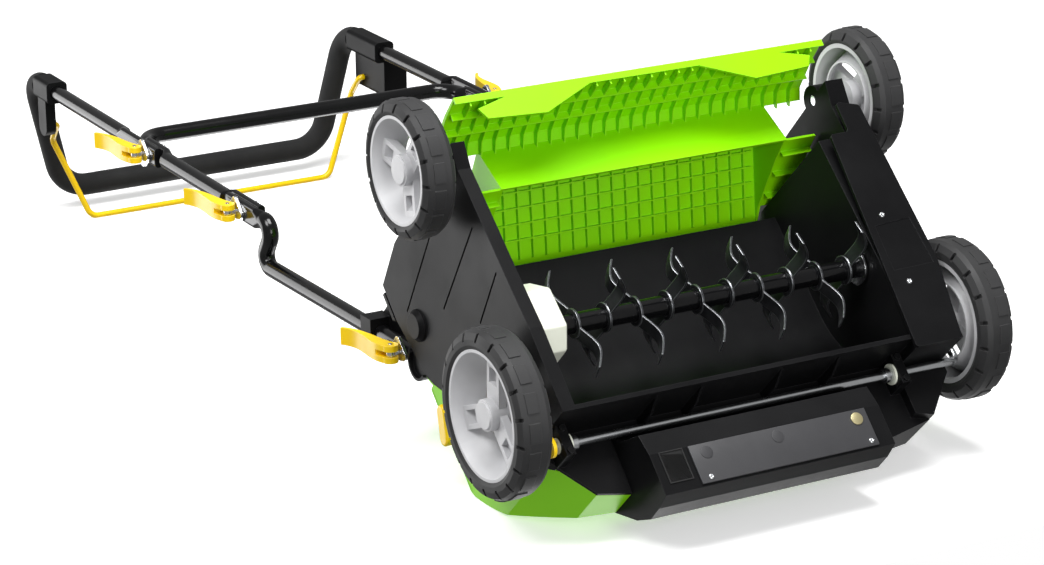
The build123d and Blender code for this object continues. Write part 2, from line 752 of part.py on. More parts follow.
def make_knife(x, turn):
    """Two-armed scarifying knife: a ring on the tube and two bowed strips with hooked tips."""
    centre = at(x, rotor_y, rotor_z)
    with BuildPart() as knife:
        with BuildSketch(axle_plane(x - knife_thick / 2, rotor_y, rotor_z, 1)):
            Circle(rotor_tube_r + 5)
        extrude(amount=knife_thick)
        for arm in (0, 180):
            a = math.radians(turn + arm)
            reach = Vector(0, math.cos(a), math.sin(a))
            across_arm = Vector(1, 0, 0).cross(reach)
            bow = knife_bow if arm else -knife_bow
            base = rotor_tube_r + 2
            with BuildSketch(Plane(origin=centre - across_arm * (knife_width / 2), x_dir=(1, 0, 0), z_dir=across_arm)):
                with BuildLine():
                    sign = (Vector(1, 0, 0).cross(reach)).cross(Vector(1, 0, 0)).dot(reach)
                    sign = 1 if sign > 0 else -1
                    inner = Spline(
                        (-knife_thick / 2, sign * base), (bow * 0.6 - knife_thick / 2, sign * (base + 13)),
                        (bow - knife_thick / 2, sign * (base + 27)), (bow * 0.3 - knife_thick / 2, sign * (knife_tip_r - 13)),
                        (-bow * 0.5 - knife_thick / 2, sign * (knife_tip_r - 2)),
                    )
                    tip = Line(inner @ 1, inner @ 1 + Vector(knife_thick, 0))
                    outer = Spline(
                        tip @ 1, (bow * 0.3 + knife_thick / 2, sign * (knife_tip_r - 13)),
                        (bow + knife_thick / 2, sign * (base + 27)), (bow * 0.6 + knife_thick / 2, sign * (base + 13)),
                        (knife_thick / 2, sign * base),
                    )
                    Line(outer @ 1, inner @ 0)
                make_face()
            extrude(amount=knife_width)
        with BuildSketch(axle_plane(x - 2 * knife_bow, rotor_y, rotor_z, 1)):
            Circle(rotor_tube_r + fit)
        extrude(amount=4 * knife_bow, mode=Mode.SUBTRACT)
    return knife.part


with BuildPart() as knives:
    for i in range(knife_count):
        add(make_knife(knife_first_x - i * knife_pitch, 195 + 90 * (i % 2)))
save(knives, "knives")

# ================================================================ rear flap
upper_skin = [
    (flap_hinge_y + 3, flap_hinge_z + 5), (flap_hinge_y + 13, flap_hinge_z - 3), (291, 143), (303, 110),
    (303, 106), (246, 89), (246, 92.5), (299, 109), (288, 140), (flap_hinge_y + 8, flap_hinge_z - 8),
    (flap_hinge_y, flap_hinge_z),
]
lower_skin = [(303, 110), (314, 99), (325, 55), (328, 23), (320, 23), (321, 26), (325, 26), (321, 54), (311, 97), (300, 107)]
rib_pitch = 17.0
rib_thick = 1.6
# inner face of the upper panel, from the hinge down to the shelf
panel_head = (213.0, 204.0)
panel_foot = (288.0, 140.0)
# side outlines of the ribs: inside the lower wall, down the upper panel, and across the wings
lower_rib = [(298, 108), (312, 97), (322, 54), (322, 25), (316, 25), (315, 54), (306, 91), (294, 106)]
panel_rib = [(214, 205), (289, 141), (300, 109), (290, 106), (283, 138), (212, 199)]


def flap_ribs():
    """All ribs of the flap, each a thin plate sunk a little into the skin that it stiffens."""
    panel = Vector(*panel_foot) - Vector(*panel_head)
    lean = math.degrees(math.atan2(panel.Y, panel.X))
    with BuildPart() as ribs:
        for outline, half in ((lower_rib, flap_lower_half - 6), (panel_rib, flap_upper_half - 10)):
            count = int(2 * half / rib_pitch)
            for i in range(count):
                with BuildSketch(side((i - (count - 1) / 2) * rib_pitch)):
                    with BuildLine():
                        Polyline(*outline, close=True)
                    make_face()
                extrude(amount=rib_thick / 2, both=True)
        # ribs that run across the machine, under the upper panel and inside the lower wall
        for k in (0.24, 0.42, 0.6, 0.78):
            foot = Vector(*panel_head) + panel * k
            with BuildSketch(side(0)):
                with Locations((foot.X, foot.Y)):
                    Rectangle(rib_thick, 9, rotation=lean)
            extrude(amount=flap_upper_half - 8, both=True)
        for y, z in ((318, 48), (313, 74)):
            with BuildSketch(side(0)):
                with Locations((y, z)):
                    Rectangle(9, rib_thick)
            extrude(amount=flap_lower_half - 3, both=True)
        for out in (1, -1):
            for y, z in ((224.5, 172), (234.5, 140), (243, 110)):
                with BuildSketch(side(out * (flap_upper_half - 1))):
                    with Locations((y - 3.5, z - 1)):
                        Rectangle(9, rib_thick, rotation=16)
                extrude(amount=out * (flap_wing_half - flap_upper_half))
    return ribs.part


with BuildPart() as rear_flap:
    with BuildSketch(side(0)):
        with BuildLine():
            Polyline(*upper_skin, close=True)
        make_face()
    extrude(amount=flap_upper_half, both=True)
    with BuildSketch(side(0)):
        with BuildLine():
            Polyline(*lower_skin, close=True)
        make_face()
    extrude(amount=flap_lower_half, both=True)
    # hinge knuckle
    with BuildSketch(side(0)):
        with Locations((flap_hinge_y, flap_hinge_z)):
            Circle(flap_knuckle_r)
    extrude(amount=flap_upper_half, both=True)
    # end cheeks of the upper panel, with ribbed wings that reach out to the deck's cheeks
    for out in (1, -1):
        with BuildSketch(side(out * flap_upper_half)):
            with BuildLine():
                Polyline(
                    (flap_hinge_y + 2, flap_hinge_z - 2), (290, 141), (302, 108), (246, 91), (240, 120),
                    (228, 160), (218.5, 190), close=True,
                )
            make_face()
        extrude(amount=-out * flap_wall)
        with BuildSketch(side(out * (flap_upper_half - flap_wall))):
            with BuildLine():
                Polyline(
                    (218.5, 190), (228, 160), (240, 120), (246, 91), (249, 92), (243, 121), (231, 161), (221.5, 191),
                    close=True,
                )
            make_face()
        extrude(amount=out * (flap_wing_half - flap_upper_half + flap_wall))
    add(flap_ribs())
    # bottom pads
    for out in (1, -1):
        with BuildSketch(level(23)):
            with BuildLine():
                Polyline((out * 66, 321), (out * 130, 294), (out * 200, 298), (out * 207, 311), (out * 160, 323), close=True)
            make_face()
        extrude(amount=3)
    # bores for the hinge pins
    for out in (1, -1):
        with BuildSketch(axle_plane(out * (flap_upper_half - 12), flap_hinge_y, flap_hinge_z, out)):
            Circle(flap_pin_r + fit)
        extrude(amount=13, mode=Mode.SUBTRACT)
save(rear_flap, "rear_flap")

pin_inner = flap_upper_half - 10
with BuildPart() as flap_pins:
    for out in (1, -1):
        with BuildSketch(axle_plane(out * pin_inner, flap_hinge_y, flap_hinge_z, out)):
            Circle(flap_pin_r - 0.02)
        extrude(amount=deck_half - 4 - pin_inner)
save(flap_pins, "flap_pins")

# ================================================================ handle
lower_dir = Vector(0, math.cos(math.radians(lower_angle)), math.sin(math.radians(lower_angle)))
upper_dir = Vector(0, math.cos(math.radians(handle_angle)), math.sin(math.radians(handle_angle)))
deck_bolt = (deck_bolt_y, deck_bolt_z)
elbow_bolt = (511.0, 577.0)
knee_bolt = (elbow_bolt[0] + middle_run * upper_dir.Y, elbow_bolt[1] + middle_run * upper_dir.Z)
tab_thick = tube_r - gap / 2                  # two flattened tubes side by side share one tube's width
outer_tab = leg_x + gap / 2 + tab_thick / 2
inner_tab = leg_x - gap / 2 - tab_thick / 2


def along(x, start, direction, run):
    """Plane square to a leg, at a run from a point given by distance and height."""
    return Plane(
        origin=at(x, start[0] + run * direction.Y, start[1] + run * direction.Z), x_dir=(1, 0, 0), z_dir=direction,
    )


def flattened(x_flat, x_round, start, direction, flat_from, flat_to, round_at, skin):
    """Flattened end of a leg between two runs, with the length over which it becomes round."""
    with BuildPart() as end:
        with BuildSketch(along(x_flat, start, direction, flat_from)):
            RectangleRounded(tab_thick - 2 * skin, tab_height - 2 * skin, (tab_thick - 2 * skin) / 2 - 0.01)
        extrude(amount=flat_to - flat_from)
        with BuildSketch(along(x_flat, start, direction, flat_to)):
            RectangleRounded(tab_thick - 2 * skin, tab_height - 2 * skin, (tab_thick - 2 * skin) / 2 - 0.01)
        with BuildSketch(along(x_round, start, direction, round_at)):
            RectangleRounded(2 * (tube_r - skin), 2 * (tube_r - skin), tube_r - skin - 0.01)
        loft()
    return end.part


def swept(points, radius, bends):
    """Round tube or bar along straight runs joined by tangent arcs."""
    with BuildPart() as bar:
        with BuildLine() as path:
            FilletPolyline(*points, radius=bends)
        with BuildSketch(path.line ^ 0):
            Circle(radius)
        sweep()
    return bar.part


def on_leg(x, start, direction, run):
    """Point on a leg's middle line."""
    return at(x, start[0] + run * direction.Y, start[1] + run * direction.Z)


s_top = (elbow_bolt[0] - elbow_bolt_run * upper_dir.Y, elbow_bolt[1] - elbow_bolt_run * upper_dir.Z)
s_bottom = (deck_bolt[0] + lower_run * lower_dir.Y, deck_bolt[1] + lower_run * lower_dir.Z)
lower_start = -14.0           # from the deck bolt to the lower tubes' open ends


def lower_solid(out, skin):
    """One lower tube: straight run from the deck, S bend, flattened end at the elbow bolt."""
    x = out * leg_x
    body = swept(
        [
            on_leg(x, deck_bolt, lower_dir, lower_start), at(x, *s_bottom), at(x, *s_top),
            on_leg(x, elbow_bolt, upper_dir, -flat_lead - round_out),
        ],
        tube_r - skin, s_bend_r,
    )
    end = flattened(
        out * outer_tab, x, elbow_bolt, upper_dir, tab_reach, -flat_lead, -flat_lead - round_out, skin,
    )
    return body + end


def middle_solid(skin):
    """Middle section: two legs flattened at both bolts and one cross tube."""
    first_round = flat_lead + round_out
    last_round = middle_run - tab_reach - round_out
    corner_x = leg_x - gap / 2 - tube_r
    corner_run = middle_top - middle_bend_r
    whole = None
    for out in (1, -1):
        x = out * leg_x
        with BuildPart() as leg:
            with BuildSketch(along(x, elbow_bolt, upper_dir, first_round)):
                Circle(tube_r - skin)
            extrude(amount=last_round - first_round)
        foot = flattened(out * inner_tab, x, elbow_bolt, upper_dir, -tab_reach + 2, flat_lead, first_round, skin)
        head = flattened(
            out * inner_tab, x, knee_bolt, upper_dir, 0, -tab_reach, last_round - middle_run, skin,
        )
        turn = flattened(
            out * inner_tab, out * corner_x, knee_bolt, upper_dir, 0, corner_run - round_out, corner_run, skin,
        )
        piece = leg.part + foot + head + turn
        whole = piece if whole is None else whole + piece
    cross = swept(
        [
            on_leg(corner_x, knee_bolt, upper_dir, corner_run), on_leg(corner_x, knee_bolt, upper_dir, middle_top),
            on_leg(-corner_x, knee_bolt, upper_dir, middle_top), on_leg(-corner_x, knee_bolt, upper_dir, corner_run),
        ],
        tube_r - skin, middle_bend_r - 0.5,
    )
    return whole + cross


grip_first = (knee_bolt[0] + upper_run * upper_dir.Y, knee_bolt[1] + upper_run * upper_dir.Z)
grip_second = (grip_first[0] + grip_drop_y, grip_first[1] + grip_drop_z)
upper_flat_end = middle_top + tube_r + 4.0


def loop_points(start_run):
    """Corners of the upper tube from a run on the left leg, round the grip, to the right leg."""
    left = [
        on_leg(leg_x, knee_bolt, upper_dir, start_run), at(leg_x, *grip_first), at(grip_half, *grip_second),
    ]
    return left + [Vector(-p.X, p.Y, p.Z) for p in reversed(left)]


def upper_solid(skin):
    """Upper tube: flattened ends at the knee bolts and the grip loop."""
    loop = swept(
        loop_points(upper_flat_end + round_out), tube_r - skin, [grip_bend_r, grip_corner_r, grip_corner_r, grip_bend_r],
    )
    for out in (1, -1):
        loop = loop + flattened(
            out * outer_tab, out * leg_x, knee_bolt, upper_dir, -tab_reach + 4, upper_flat_end,
            upper_flat_end + round_out, skin,
        )
    return loop


def bolt_hole(bolt, half):
    """Cylinder along X through both legs at a bolt."""
    with BuildPart() as hole:
        with BuildSketch(axle_plane(0, bolt[0], bolt[1], 1)):
            Circle(bolt_r + 0.25)
        extrude(amount=half, both=True)
    return hole.part


through = deck_half + 30
with BuildPart() as lower_tubes:
    add([lower_solid(1, 0), lower_solid(-1, 0)])
    add([lower_solid(1, tube_wall), lower_solid(-1, tube_wall)], mode=Mode.SUBTRACT)
    add(bolt_hole(deck_bolt, through), mode=Mode.SUBTRACT)
    add(bolt_hole(elbow_bolt, through), mode=Mode.SUBTRACT)
save(lower_tubes, "lower_tubes")

with BuildPart() as middle_tube:
    add(middle_solid(0))
    add(middle_solid(tube_wall), mode=Mode.SUBTRACT)
    add(bolt_hole(elbow_bolt, through), mode=Mode.SUBTRACT)
    add(bolt_hole(knee_bolt, through), mode=Mode.SUBTRACT)
save(middle_tube, "middle_tube")

with BuildPart() as upper_tube:
    add(upper_solid(0))
    add(upper_solid(tube_wall), mode=Mode.SUBTRACT)
    add(bolt_hole(knee_bolt, through), mode=Mode.SUBTRACT)
save(upper_tube, "upper_tube")

# foam sleeve round the whole grip loop
foam_start = upper_run - 33.4
with BuildPart() as foam_grip:
    add(swept(loop_points(foam_start), foam_r, [grip_bend_r, grip_corner_r, grip_corner_r, grip_bend_r]))
    add(
        swept(loop_points(foam_start), tube_r + fit, [grip_bend_r, grip_corner_r, grip_corner_r, grip_bend_r]),
        mode=Mode.SUBTRACT,
    )
save(foam_grip, "foam_grip")

# black plugs in the open ends of the tubes
def flat_plug(x, start, direction, run, inward):
    """Plug for a flattened end; inward is the sense, along the leg, that leads into the tube."""
    with BuildPart() as plug:
        with BuildSketch(along(x, start, direction, run)):
            RectangleRounded(tab_thick, tab_height, tab_thick / 2 - 0.01)
        extrude(amount=-inward * plug_lip)
        with BuildSketch(along(x, start, direction, run)):
            RectangleRounded(
                tab_thick - 2 * tube_wall - 0.1, tab_height - 2 * tube_wall - 0.1, (tab_thick - 2 * tube_wall) / 2 - 0.1,
            )
        extrude(amount=inward * 8)
    return plug.part


with BuildPart() as lower_plugs:
    for out in (1, -1):
        add(flat_plug(out * outer_tab, elbow_bolt, upper_dir, tab_reach, -1))
        with BuildSketch(along(out * leg_x, deck_bolt, lower_dir, lower_start)):
            Circle(tube_r)
        extrude(amount=-plug_lip)
        with BuildSketch(along(out * leg_x, deck_bolt, lower_dir, lower_start)):
            Circle(tube_r - tube_wall - fit)
        extrude(amount=8)
save(lower_plugs, "lower_plugs")

with BuildPart() as middle_plugs:
    for out in (1, -1):
        add(flat_plug(out * inner_tab, elbow_bolt, upper_dir, -tab_reach + 2, 1))
save(middle_plugs, "middle_plugs")

with BuildPart() as upper_plugs:
    for out in (1, -1):
        add(flat_plug(out * outer_tab, knee_bolt, upper_dir, -tab_reach + 4, 1))
save(upper_plugs, "upper_plugs")

# ================================================================ clamp bolts and cam levers
cup_thick = 4.0
inner_face = leg_x - tube_r
outer_face = leg_x + tube_r
pivot_x = outer_face + gap + cup_thick + cam_r
nut_thick = 7.0


def lever_plane(bolt, direction, out):
    """Plane of a lever's side outline: its axes run along the leg and outward, with its origin on the pivot."""
    return Plane(
        origin=at(out * pivot_x, *bolt), x_dir=direction, z_dir=direction.cross(Vector(out, 0, 0)),
    )


def clamp_bolt(bolt, direction, out, inner):
    """Clamp bolt with its nut, cup washer, eye and cross pin; inner is where the nut seats."""
    flat = lever_plane(bolt, direction, out)
    with BuildPart() as rodded:
        with BuildSketch(axle_plane(out * (inner - nut_thick - 2), *bolt, out)):
            Circle(bolt_r)
        extrude(amount=pivot_x - 4 - inner + nut_thick + 2)
        with BuildSketch(flat):
            Circle(5)
            with Locations((0, -3)):
                Rectangle(2 * bolt_r, 8)
            Circle(cam_pin_r, mode=Mode.SUBTRACT)
        extrude(amount=2.9, both=True)
    with BuildPart() as nut:
        with BuildSketch(axle_plane(out * (inner - gap), *bolt, -out)):
            RegularPolygon(8, 6)
            Circle(bolt_r, mode=Mode.SUBTRACT)
        extrude(amount=nut_thick)
    with BuildPart() as cup:
        with BuildSketch(axle_plane(out * (outer_face + gap), *bolt, out)):
            RectangleRounded(30, 24, 5)
            Circle(bolt_r + fit, mode=Mode.SUBTRACT)
        extrude(amount=cup_thick - gap)
    with BuildPart() as pin:
        with BuildSketch(flat):
            Circle(cam_pin_r)
        extrude(amount=lever_width / 2 + 1, both=True)
    return [rodded.part, nut.part, cup.part, pin.part]


def clamp_set(bolt, direction, inner):
    """Clamp bolts for both sides of the handle."""
    return clamp_bolt(bolt, direction, 1, inner) + clamp_bolt(bolt, direction, -1, inner)


with BuildPart() as deck_clamps:
    add(clamp_set(deck_bolt, lower_dir, mount_inner))
save(deck_clamps, "deck_clamp_bolts")
with BuildPart() as elbow_clamps:
    add(clamp_set(elbow_bolt, upper_dir, inner_face))
save(elbow_clamps, "elbow_clamp_bolts")
with BuildPart() as knee_clamps:
    add(clamp_set(knee_bolt, upper_dir, inner_face))
save(knee_clamps, "knee_clamp_bolts")


def make_lever(label, bolt, direction, out):
    """Crescent cam lever that lies along the leg, forked round the bolt's eye."""
    flat = lever_plane(bolt, direction, out)
    with BuildPart() as lever:
        with BuildSketch(flat):
            with BuildLine():
                back = Spline((0, cam_r - gap), (24, 12.5), (52, 11), (lever_length, 20))
                tip = Line(back @ 1, (lever_length + 1, 17))
                front = Spline(tip @ 1, (54, 3.5), (26, -1.5), (0, -cam_r + gap))
                Line(front @ 1, back @ 0)
            make_face()
            Circle(cam_r - gap)
        extrude(amount=lever_width / 2, both=True)
        with BuildSketch(flat):
            Rectangle(26, 40)
        extrude(amount=3.2, both=True, mode=Mode.SUBTRACT)
        with BuildSketch(flat):
            Circle(cam_pin_r + fit)
        extrude(amount=lever_width, both=True, mode=Mode.SUBTRACT)
    save(lever, label)


for name, out in (("left", 1), ("right", -1)):
    make_lever(f"deck_cam_lever_{name}", deck_bolt, lower_dir, out)
    make_lever(f"elbow_cam_lever_{name}", elbow_bolt, upper_dir, out)
    make_lever(f"knee_cam_lever_{name}", knee_bolt, upper_dir, out)

# ================================================================ handle mounts on the deck
saddle_run = 78.0
saddle_length = 24.0
boss_y = 152.5
boss_z = 287.5
boss_r = 19.5
boss_face = 247.0


def make_mount(label, out):
    """Cheek with a foot on the deck's shelf, a bore for the deck bolt and a saddle under the tube."""
    shelf = [(y, seat_slope(y) + shelf_rise + 2 * gap) for y in (134.0, 212.0, 248.0)]
    with BuildPart() as mount:
        with BuildSketch(side(out * mount_inner)):
            with BuildLine():
                Polyline(*shelf, (252, 344), (252, 362), (238, 386), (220, 380), (178, 338), (150, 318), (134, 296), close=True)
            make_face()
        extrude(amount=out * 10)
        with BuildSketch(side(out * mount_inner)):
            with BuildLine():
                Polyline(shelf[1], shelf[2], (248, shelf[2][1] + 5), (216, shelf[1][1] + 5), close=True)
            make_face()
        extrude(amount=out * 31)
        with BuildSketch(along(out * leg_x, deck_bolt, lower_dir, saddle_run - saddle_length / 2)):
            with Locations((0.4 * out, 8)):
                Rectangle(27.2, 20)
            Circle(tube_r + gap, mode=Mode.SUBTRACT)
        extrude(amount=saddle_length)
        # round boss below the tube's open end, hollow at its outer end
        with BuildSketch(axle_plane(out * mount_inner, boss_y, boss_z, out)):
            Circle(boss_r)
        extrude(amount=boss_face - mount_inner)
        with BuildSketch(axle_plane(out * (boss_face - 5), boss_y, boss_z, out)):
            Circle(boss_r - wall)
        extrude(amount=5, mode=Mode.SUBTRACT)
        with BuildSketch(axle_plane(out * mount_inner, *deck_bolt, out)):
            Circle(bolt_r + fit)
        extrude(amount=10, mode=Mode.SUBTRACT)
        # the boss ends at the deck's shelf
        with BuildSketch(side(out * mount_inner)):
            with BuildLine():
                Polyline((100, 200), (100, 276), (134, shelf[0][1]), shelf[1], (212, 200), close=True)
            make_face()
        extrude(amount=out * 40, mode=Mode.SUBTRACT)
    save(mount, label)


make_mount("handle_mount_left", 1)
make_mount("handle_mount_right", -1)

# ================================================================ bail, its bracket, switch box and button
outward_up = Vector(0, -upper_dir.Z, upper_dir.Y)      # square to the upper tube, towards the front and up
bail_pivot = (
    knee_bolt[0] + bail_pivot_run * upper_dir.Y + bail_offset * outward_up.Y,
    knee_bolt[1] + bail_pivot_run * upper_dir.Z + bail_offset * outward_up.Z,
)
bail_arm_x = 226.0
bail_half = 180.0
bail_first = (906.6, 1082.8)
bail_second = (818.0, 1152.0)
bail_stub = 14.0
bail_face = bail_arm_x + 7.0
with BuildPart() as bail:
    left = [
        at(bail_arm_x + bail_stub, *bail_pivot), at(bail_arm_x, *bail_pivot), at(bail_arm_x - 1, *bail_first),
        at(bail_half, *bail_second),
    ]
    add(swept(left + [Vector(-p.X, p.Y, p.Z) for p in reversed(left)], bail_r, [6, 14, 16, 16, 14, 6]))
save(bail, "bail")


def housing_on_leg(x, from_run, to_run, half_width, below, above):
    """Block clamped round the upper tube, drawn in the leg's own axes."""
    with BuildPart() as block:
        with BuildSketch(along(x, knee_bolt, upper_dir, from_run)):
            with Locations((0, (below - above) / 2)):
                RectangleRounded(2 * half_width, below + above, 6)
        extrude(amount=to_run - from_run)
        with BuildSketch(along(x, knee_bolt, upper_dir, from_run)):
            Circle(tube_r + fit)
        extrude(amount=to_run - from_run, mode=Mode.SUBTRACT)
    return block.part


with BuildPart() as bail_bracket:
    add(housing_on_leg(leg_x, bail_pivot_run - 24, bail_pivot_run + 24, 14.5, 14.5, 14.5))
    with BuildSketch(axle_plane(bail_face, *bail_pivot, 1)):
        Circle(13)
        with Locations(Vector(-outward_up.Y, -outward_up.Z) * 22):
            Rectangle(26, 40, rotation=handle_angle)
    extrude(amount=leg_x + 13 - bail_face)
    with BuildSketch(axle_plane(bail_arm_x, *bail_pivot, 1)):
        Circle(bail_r + fit)
    extrude(amount=bail_stub + 1, mode=Mode.SUBTRACT)
    with BuildSketch(along(leg_x, knee_bolt, upper_dir, bail_pivot_run - 24)):
        Circle(tube_r + fit)
    extrude(amount=48, mode=Mode.SUBTRACT)
save(bail_bracket, "bail_bracket")

box_from = bail_pivot_run - 64.0
box_to = bail_pivot_run + 24.0
box_rise = 66.0
box_inner = bail_face
box_outer = 268.0
button_run = bail_pivot_run - 34.0
button_up = 40.0
button_r = 8.0
button_out = 6.0
button_travel = 4.0
button_at = (
    knee_bolt[0] + button_run * upper_dir.Y + button_up * outward_up.Y,
    knee_bolt[1] + button_run * upper_dir.Z + button_up * outward_up.Z,
)
with BuildPart() as switch_box:
    add(housing_on_leg(-leg_x, box_from, box_to, 14.5, 14.5, 14.5))
    with BuildSketch(along(-(box_inner + box_outer) / 2, knee_bolt, upper_dir, box_from)):
        with Locations((0, -(box_rise + 11) / 2)):
            RectangleRounded(box_outer - box_inner, box_rise - 11, 6)
    extrude(amount=box_to - box_from)
    with BuildSketch(along(-leg_x, knee_bolt, upper_dir, box_from)):
        Circle(tube_r + fit)
    extrude(amount=box_to - box_from, mode=Mode.SUBTRACT)
    with BuildSketch(axle_plane(-bail_arm_x, *bail_pivot, -1)):
        Circle(bail_r + fit)
    extrude(amount=bail_stub + 1, mode=Mode.SUBTRACT)
    with BuildSketch(axle_plane(-box_outer, *button_at, 1)):
        Circle(button_r + gap)
    extrude(amount=button_out + button_travel + 4, mode=Mode.SUBTRACT)
save(switch_box, "switch_box")

with BuildPart() as safety_button:
    with BuildSketch(axle_plane(-box_outer - button_out, *button_at, 1)):
        Circle(button_r)
    extrude(amount=button_out + 8)
    fillet(safety_button.faces().sort_by(Axis.X)[0].edges(), radius=1.5)
save(safety_button, "safety_button")

# ================================================================ small deck fittings
with BuildPart() as rear_axles:
    for out in (1, -1):
        with BuildSketch(axle_plane(out * (rear_half + 1), wheelbase, rear_wheel_r, out)):
            Circle(stub_r - 0.02)
        extrude(amount=rear_tread / 2 - 12 - rear_half - 1)
save(rear_axles, "rear_axles")

clamp_drop = 13.0
with BuildPart() as axle_clamps:
    for inner_x, out in bush_seats:
        with BuildSketch(axle_plane(inner_x + out * (bush_flange + gap), crank_y, crank_z, out)):
            with Locations((0, -out * (clamp_drop + gap) / 2)):
                Rectangle(2 * lug_half, clamp_drop - gap)
            Circle(bush_r, mode=Mode.SUBTRACT)
        extrude(amount=bush_length - bush_flange - 2 * gap)
        with BuildSketch(level(crank_z - clamp_drop)):
            with Locations(
                (inner_x + out * (bush_flange + gap + 5.5), crank_y - 12.8), (inner_x + out * (bush_flange + gap + 5.5), crank_y + 12.8),
            ):
                Circle(3.6)
        extrude(amount=-3)
save(axle_clamps, "axle_clamps")

# steel lever fixed on the crank, with a moulded grip above the front wheel
lever_tip = (64.0, 258.0)
lever_inner = deck_half + 2 * gap
with BuildPart() as depth_lever:
    run = Vector(lever_tip[0] - crank_y, lever_tip[1] - crank_z)
    slope = math.degrees(math.atan2(run.Y, run.X))
    with BuildSketch(side(lever_inner)):
        with Locations(((crank_y + lever_tip[0]) / 2, (crank_z + lever_tip[1]) / 2)):
            SlotCenterToCenter(run.length, 13, rotation=slope)
        with Locations((crank_y, crank_z)):
            Circle(11)
            Circle(axle_r + fit, mode=Mode.SUBTRACT)
    extrude(amount=4)
    with BuildSketch(side(lever_inner)):
        with Locations(lever_tip):
            SlotOverall(46, 18, rotation=slope - 90)
    extrude(amount=16)
    fillet(depth_lever.faces().sort_by(Axis.X)[-1].edges(), radius=3)
save(depth_lever, "depth_lever")
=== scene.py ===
"""Looks of a walk-behind electric lawn dethatcher, dressed over its CAD frame."""
import json
import logging
import math
from dataclasses import dataclass
from enum import Enum
from typing import Optional, Sequence

import bmesh
import bpy
from mathutils import Matrix, Vector

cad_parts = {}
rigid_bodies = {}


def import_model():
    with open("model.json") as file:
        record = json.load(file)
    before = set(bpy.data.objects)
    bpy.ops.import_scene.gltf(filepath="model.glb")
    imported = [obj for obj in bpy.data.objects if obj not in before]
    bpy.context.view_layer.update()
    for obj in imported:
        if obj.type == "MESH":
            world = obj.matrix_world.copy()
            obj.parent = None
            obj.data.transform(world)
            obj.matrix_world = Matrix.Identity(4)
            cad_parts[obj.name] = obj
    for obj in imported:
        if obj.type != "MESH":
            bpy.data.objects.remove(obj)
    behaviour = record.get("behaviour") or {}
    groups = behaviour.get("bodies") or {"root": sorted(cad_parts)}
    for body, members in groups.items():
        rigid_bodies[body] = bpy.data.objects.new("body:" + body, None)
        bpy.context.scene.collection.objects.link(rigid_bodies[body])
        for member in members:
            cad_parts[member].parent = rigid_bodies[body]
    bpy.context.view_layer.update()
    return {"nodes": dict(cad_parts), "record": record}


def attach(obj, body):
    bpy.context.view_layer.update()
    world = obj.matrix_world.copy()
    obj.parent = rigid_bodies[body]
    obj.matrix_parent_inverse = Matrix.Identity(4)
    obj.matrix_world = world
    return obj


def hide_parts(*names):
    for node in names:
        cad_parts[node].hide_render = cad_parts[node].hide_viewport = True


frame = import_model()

log = logging.getLogger("dethatcher")

MM = 0.001
MM_PER_METRE = 1000
FRONT_Y = -0.419845          # where the front axle line lies along the machine, in metres
NO_MATERIAL = -1             # bevel keeps the faces' own material
SMOOTH_ANGLE = math.radians(32)
MERGE_DISTANCE = 1e-6        # vertices nearer than this are one, in metres
DOWN = Vector((0, 0, -1))

# what all the finishes share
DRIFT_SPAN = (0.4, 0.75)     # part of the noise in which one tone turns into the other
POLISH_NOISE = (0.3, 0.7)    # part of the noise over which the roughness drifts
POLISH_SPAN = (0.85, 1.2)    # shares of the roughness between which it drifts
SCRATCH_MM = 9.0             # spacing of the scratches in rubbed edges
RUB_SPAN = (0.995, 0.9)      # cosine of an edge's turn, from untouched to fully rubbed and lit by painted highlight
DRAWN_STRETCH = 0.06         # scale along the drawing lines against across them
BEVEL_SAMPLES = 4
COAT_ROUGHNESS = 0.08
SHEEN_ROUGHNESS = 0.5


def place(x: float, y: float, z: float) -> Vector:
    """Point in metres from X, distance behind the front axle and height in millimetres."""
    return Vector((x * MM, FRONT_Y + y * MM, z * MM))


def linear(hex_colour: str) -> tuple[float, float, float, float]:
    """Turn an sRGB hex colour into linear values.

    Args:
        hex_colour: six hex digits.

    Returns:
        Red, green, blue and an alpha of 1.
    """
    values = [int(hex_colour[i:i + 2], 16) / 255 for i in (0, 2, 4)]
    red, green, blue = [v / 12.92 if v <= 0.04045 else ((v + 0.055) / 1.055) ** 2.4 for v in values]
    return (red, green, blue, 1.0)


def add_node(
    tree: bpy.types.NodeTree, kind: str, settings: Optional[dict] = None, links: Optional[dict] = None,
) -> bpy.types.Node:
    """Add a node with its settings and links.

    Args:
        tree: node tree that gets the node.
        kind: the node's type name.
        settings: attribute names, or input names and numbers, with their values.
        links: input names or numbers with the output sockets that feed them.

    Returns:
        The new node.
    """
    item = tree.nodes.new(kind)
    for key, value in (settings or {}).items():
        if isinstance(key, int) or key in item.inputs:
            item.inputs[key].default_value = value
        else:
            setattr(item, key, value)
    for key, source in (links or {}).items():
        tree.links.new(source, item.inputs[key])
    return item


class Grain(Enum):
    """What a surface's fine relief is like."""

    SPARK = "spark eroded mould texture"
    DRAWN = "drawn along the piece"
    CELLS = "closed foam cells"
    SKIN = "smooth lacquer with slight waviness"
    TYRE = "dull moulded rubber"


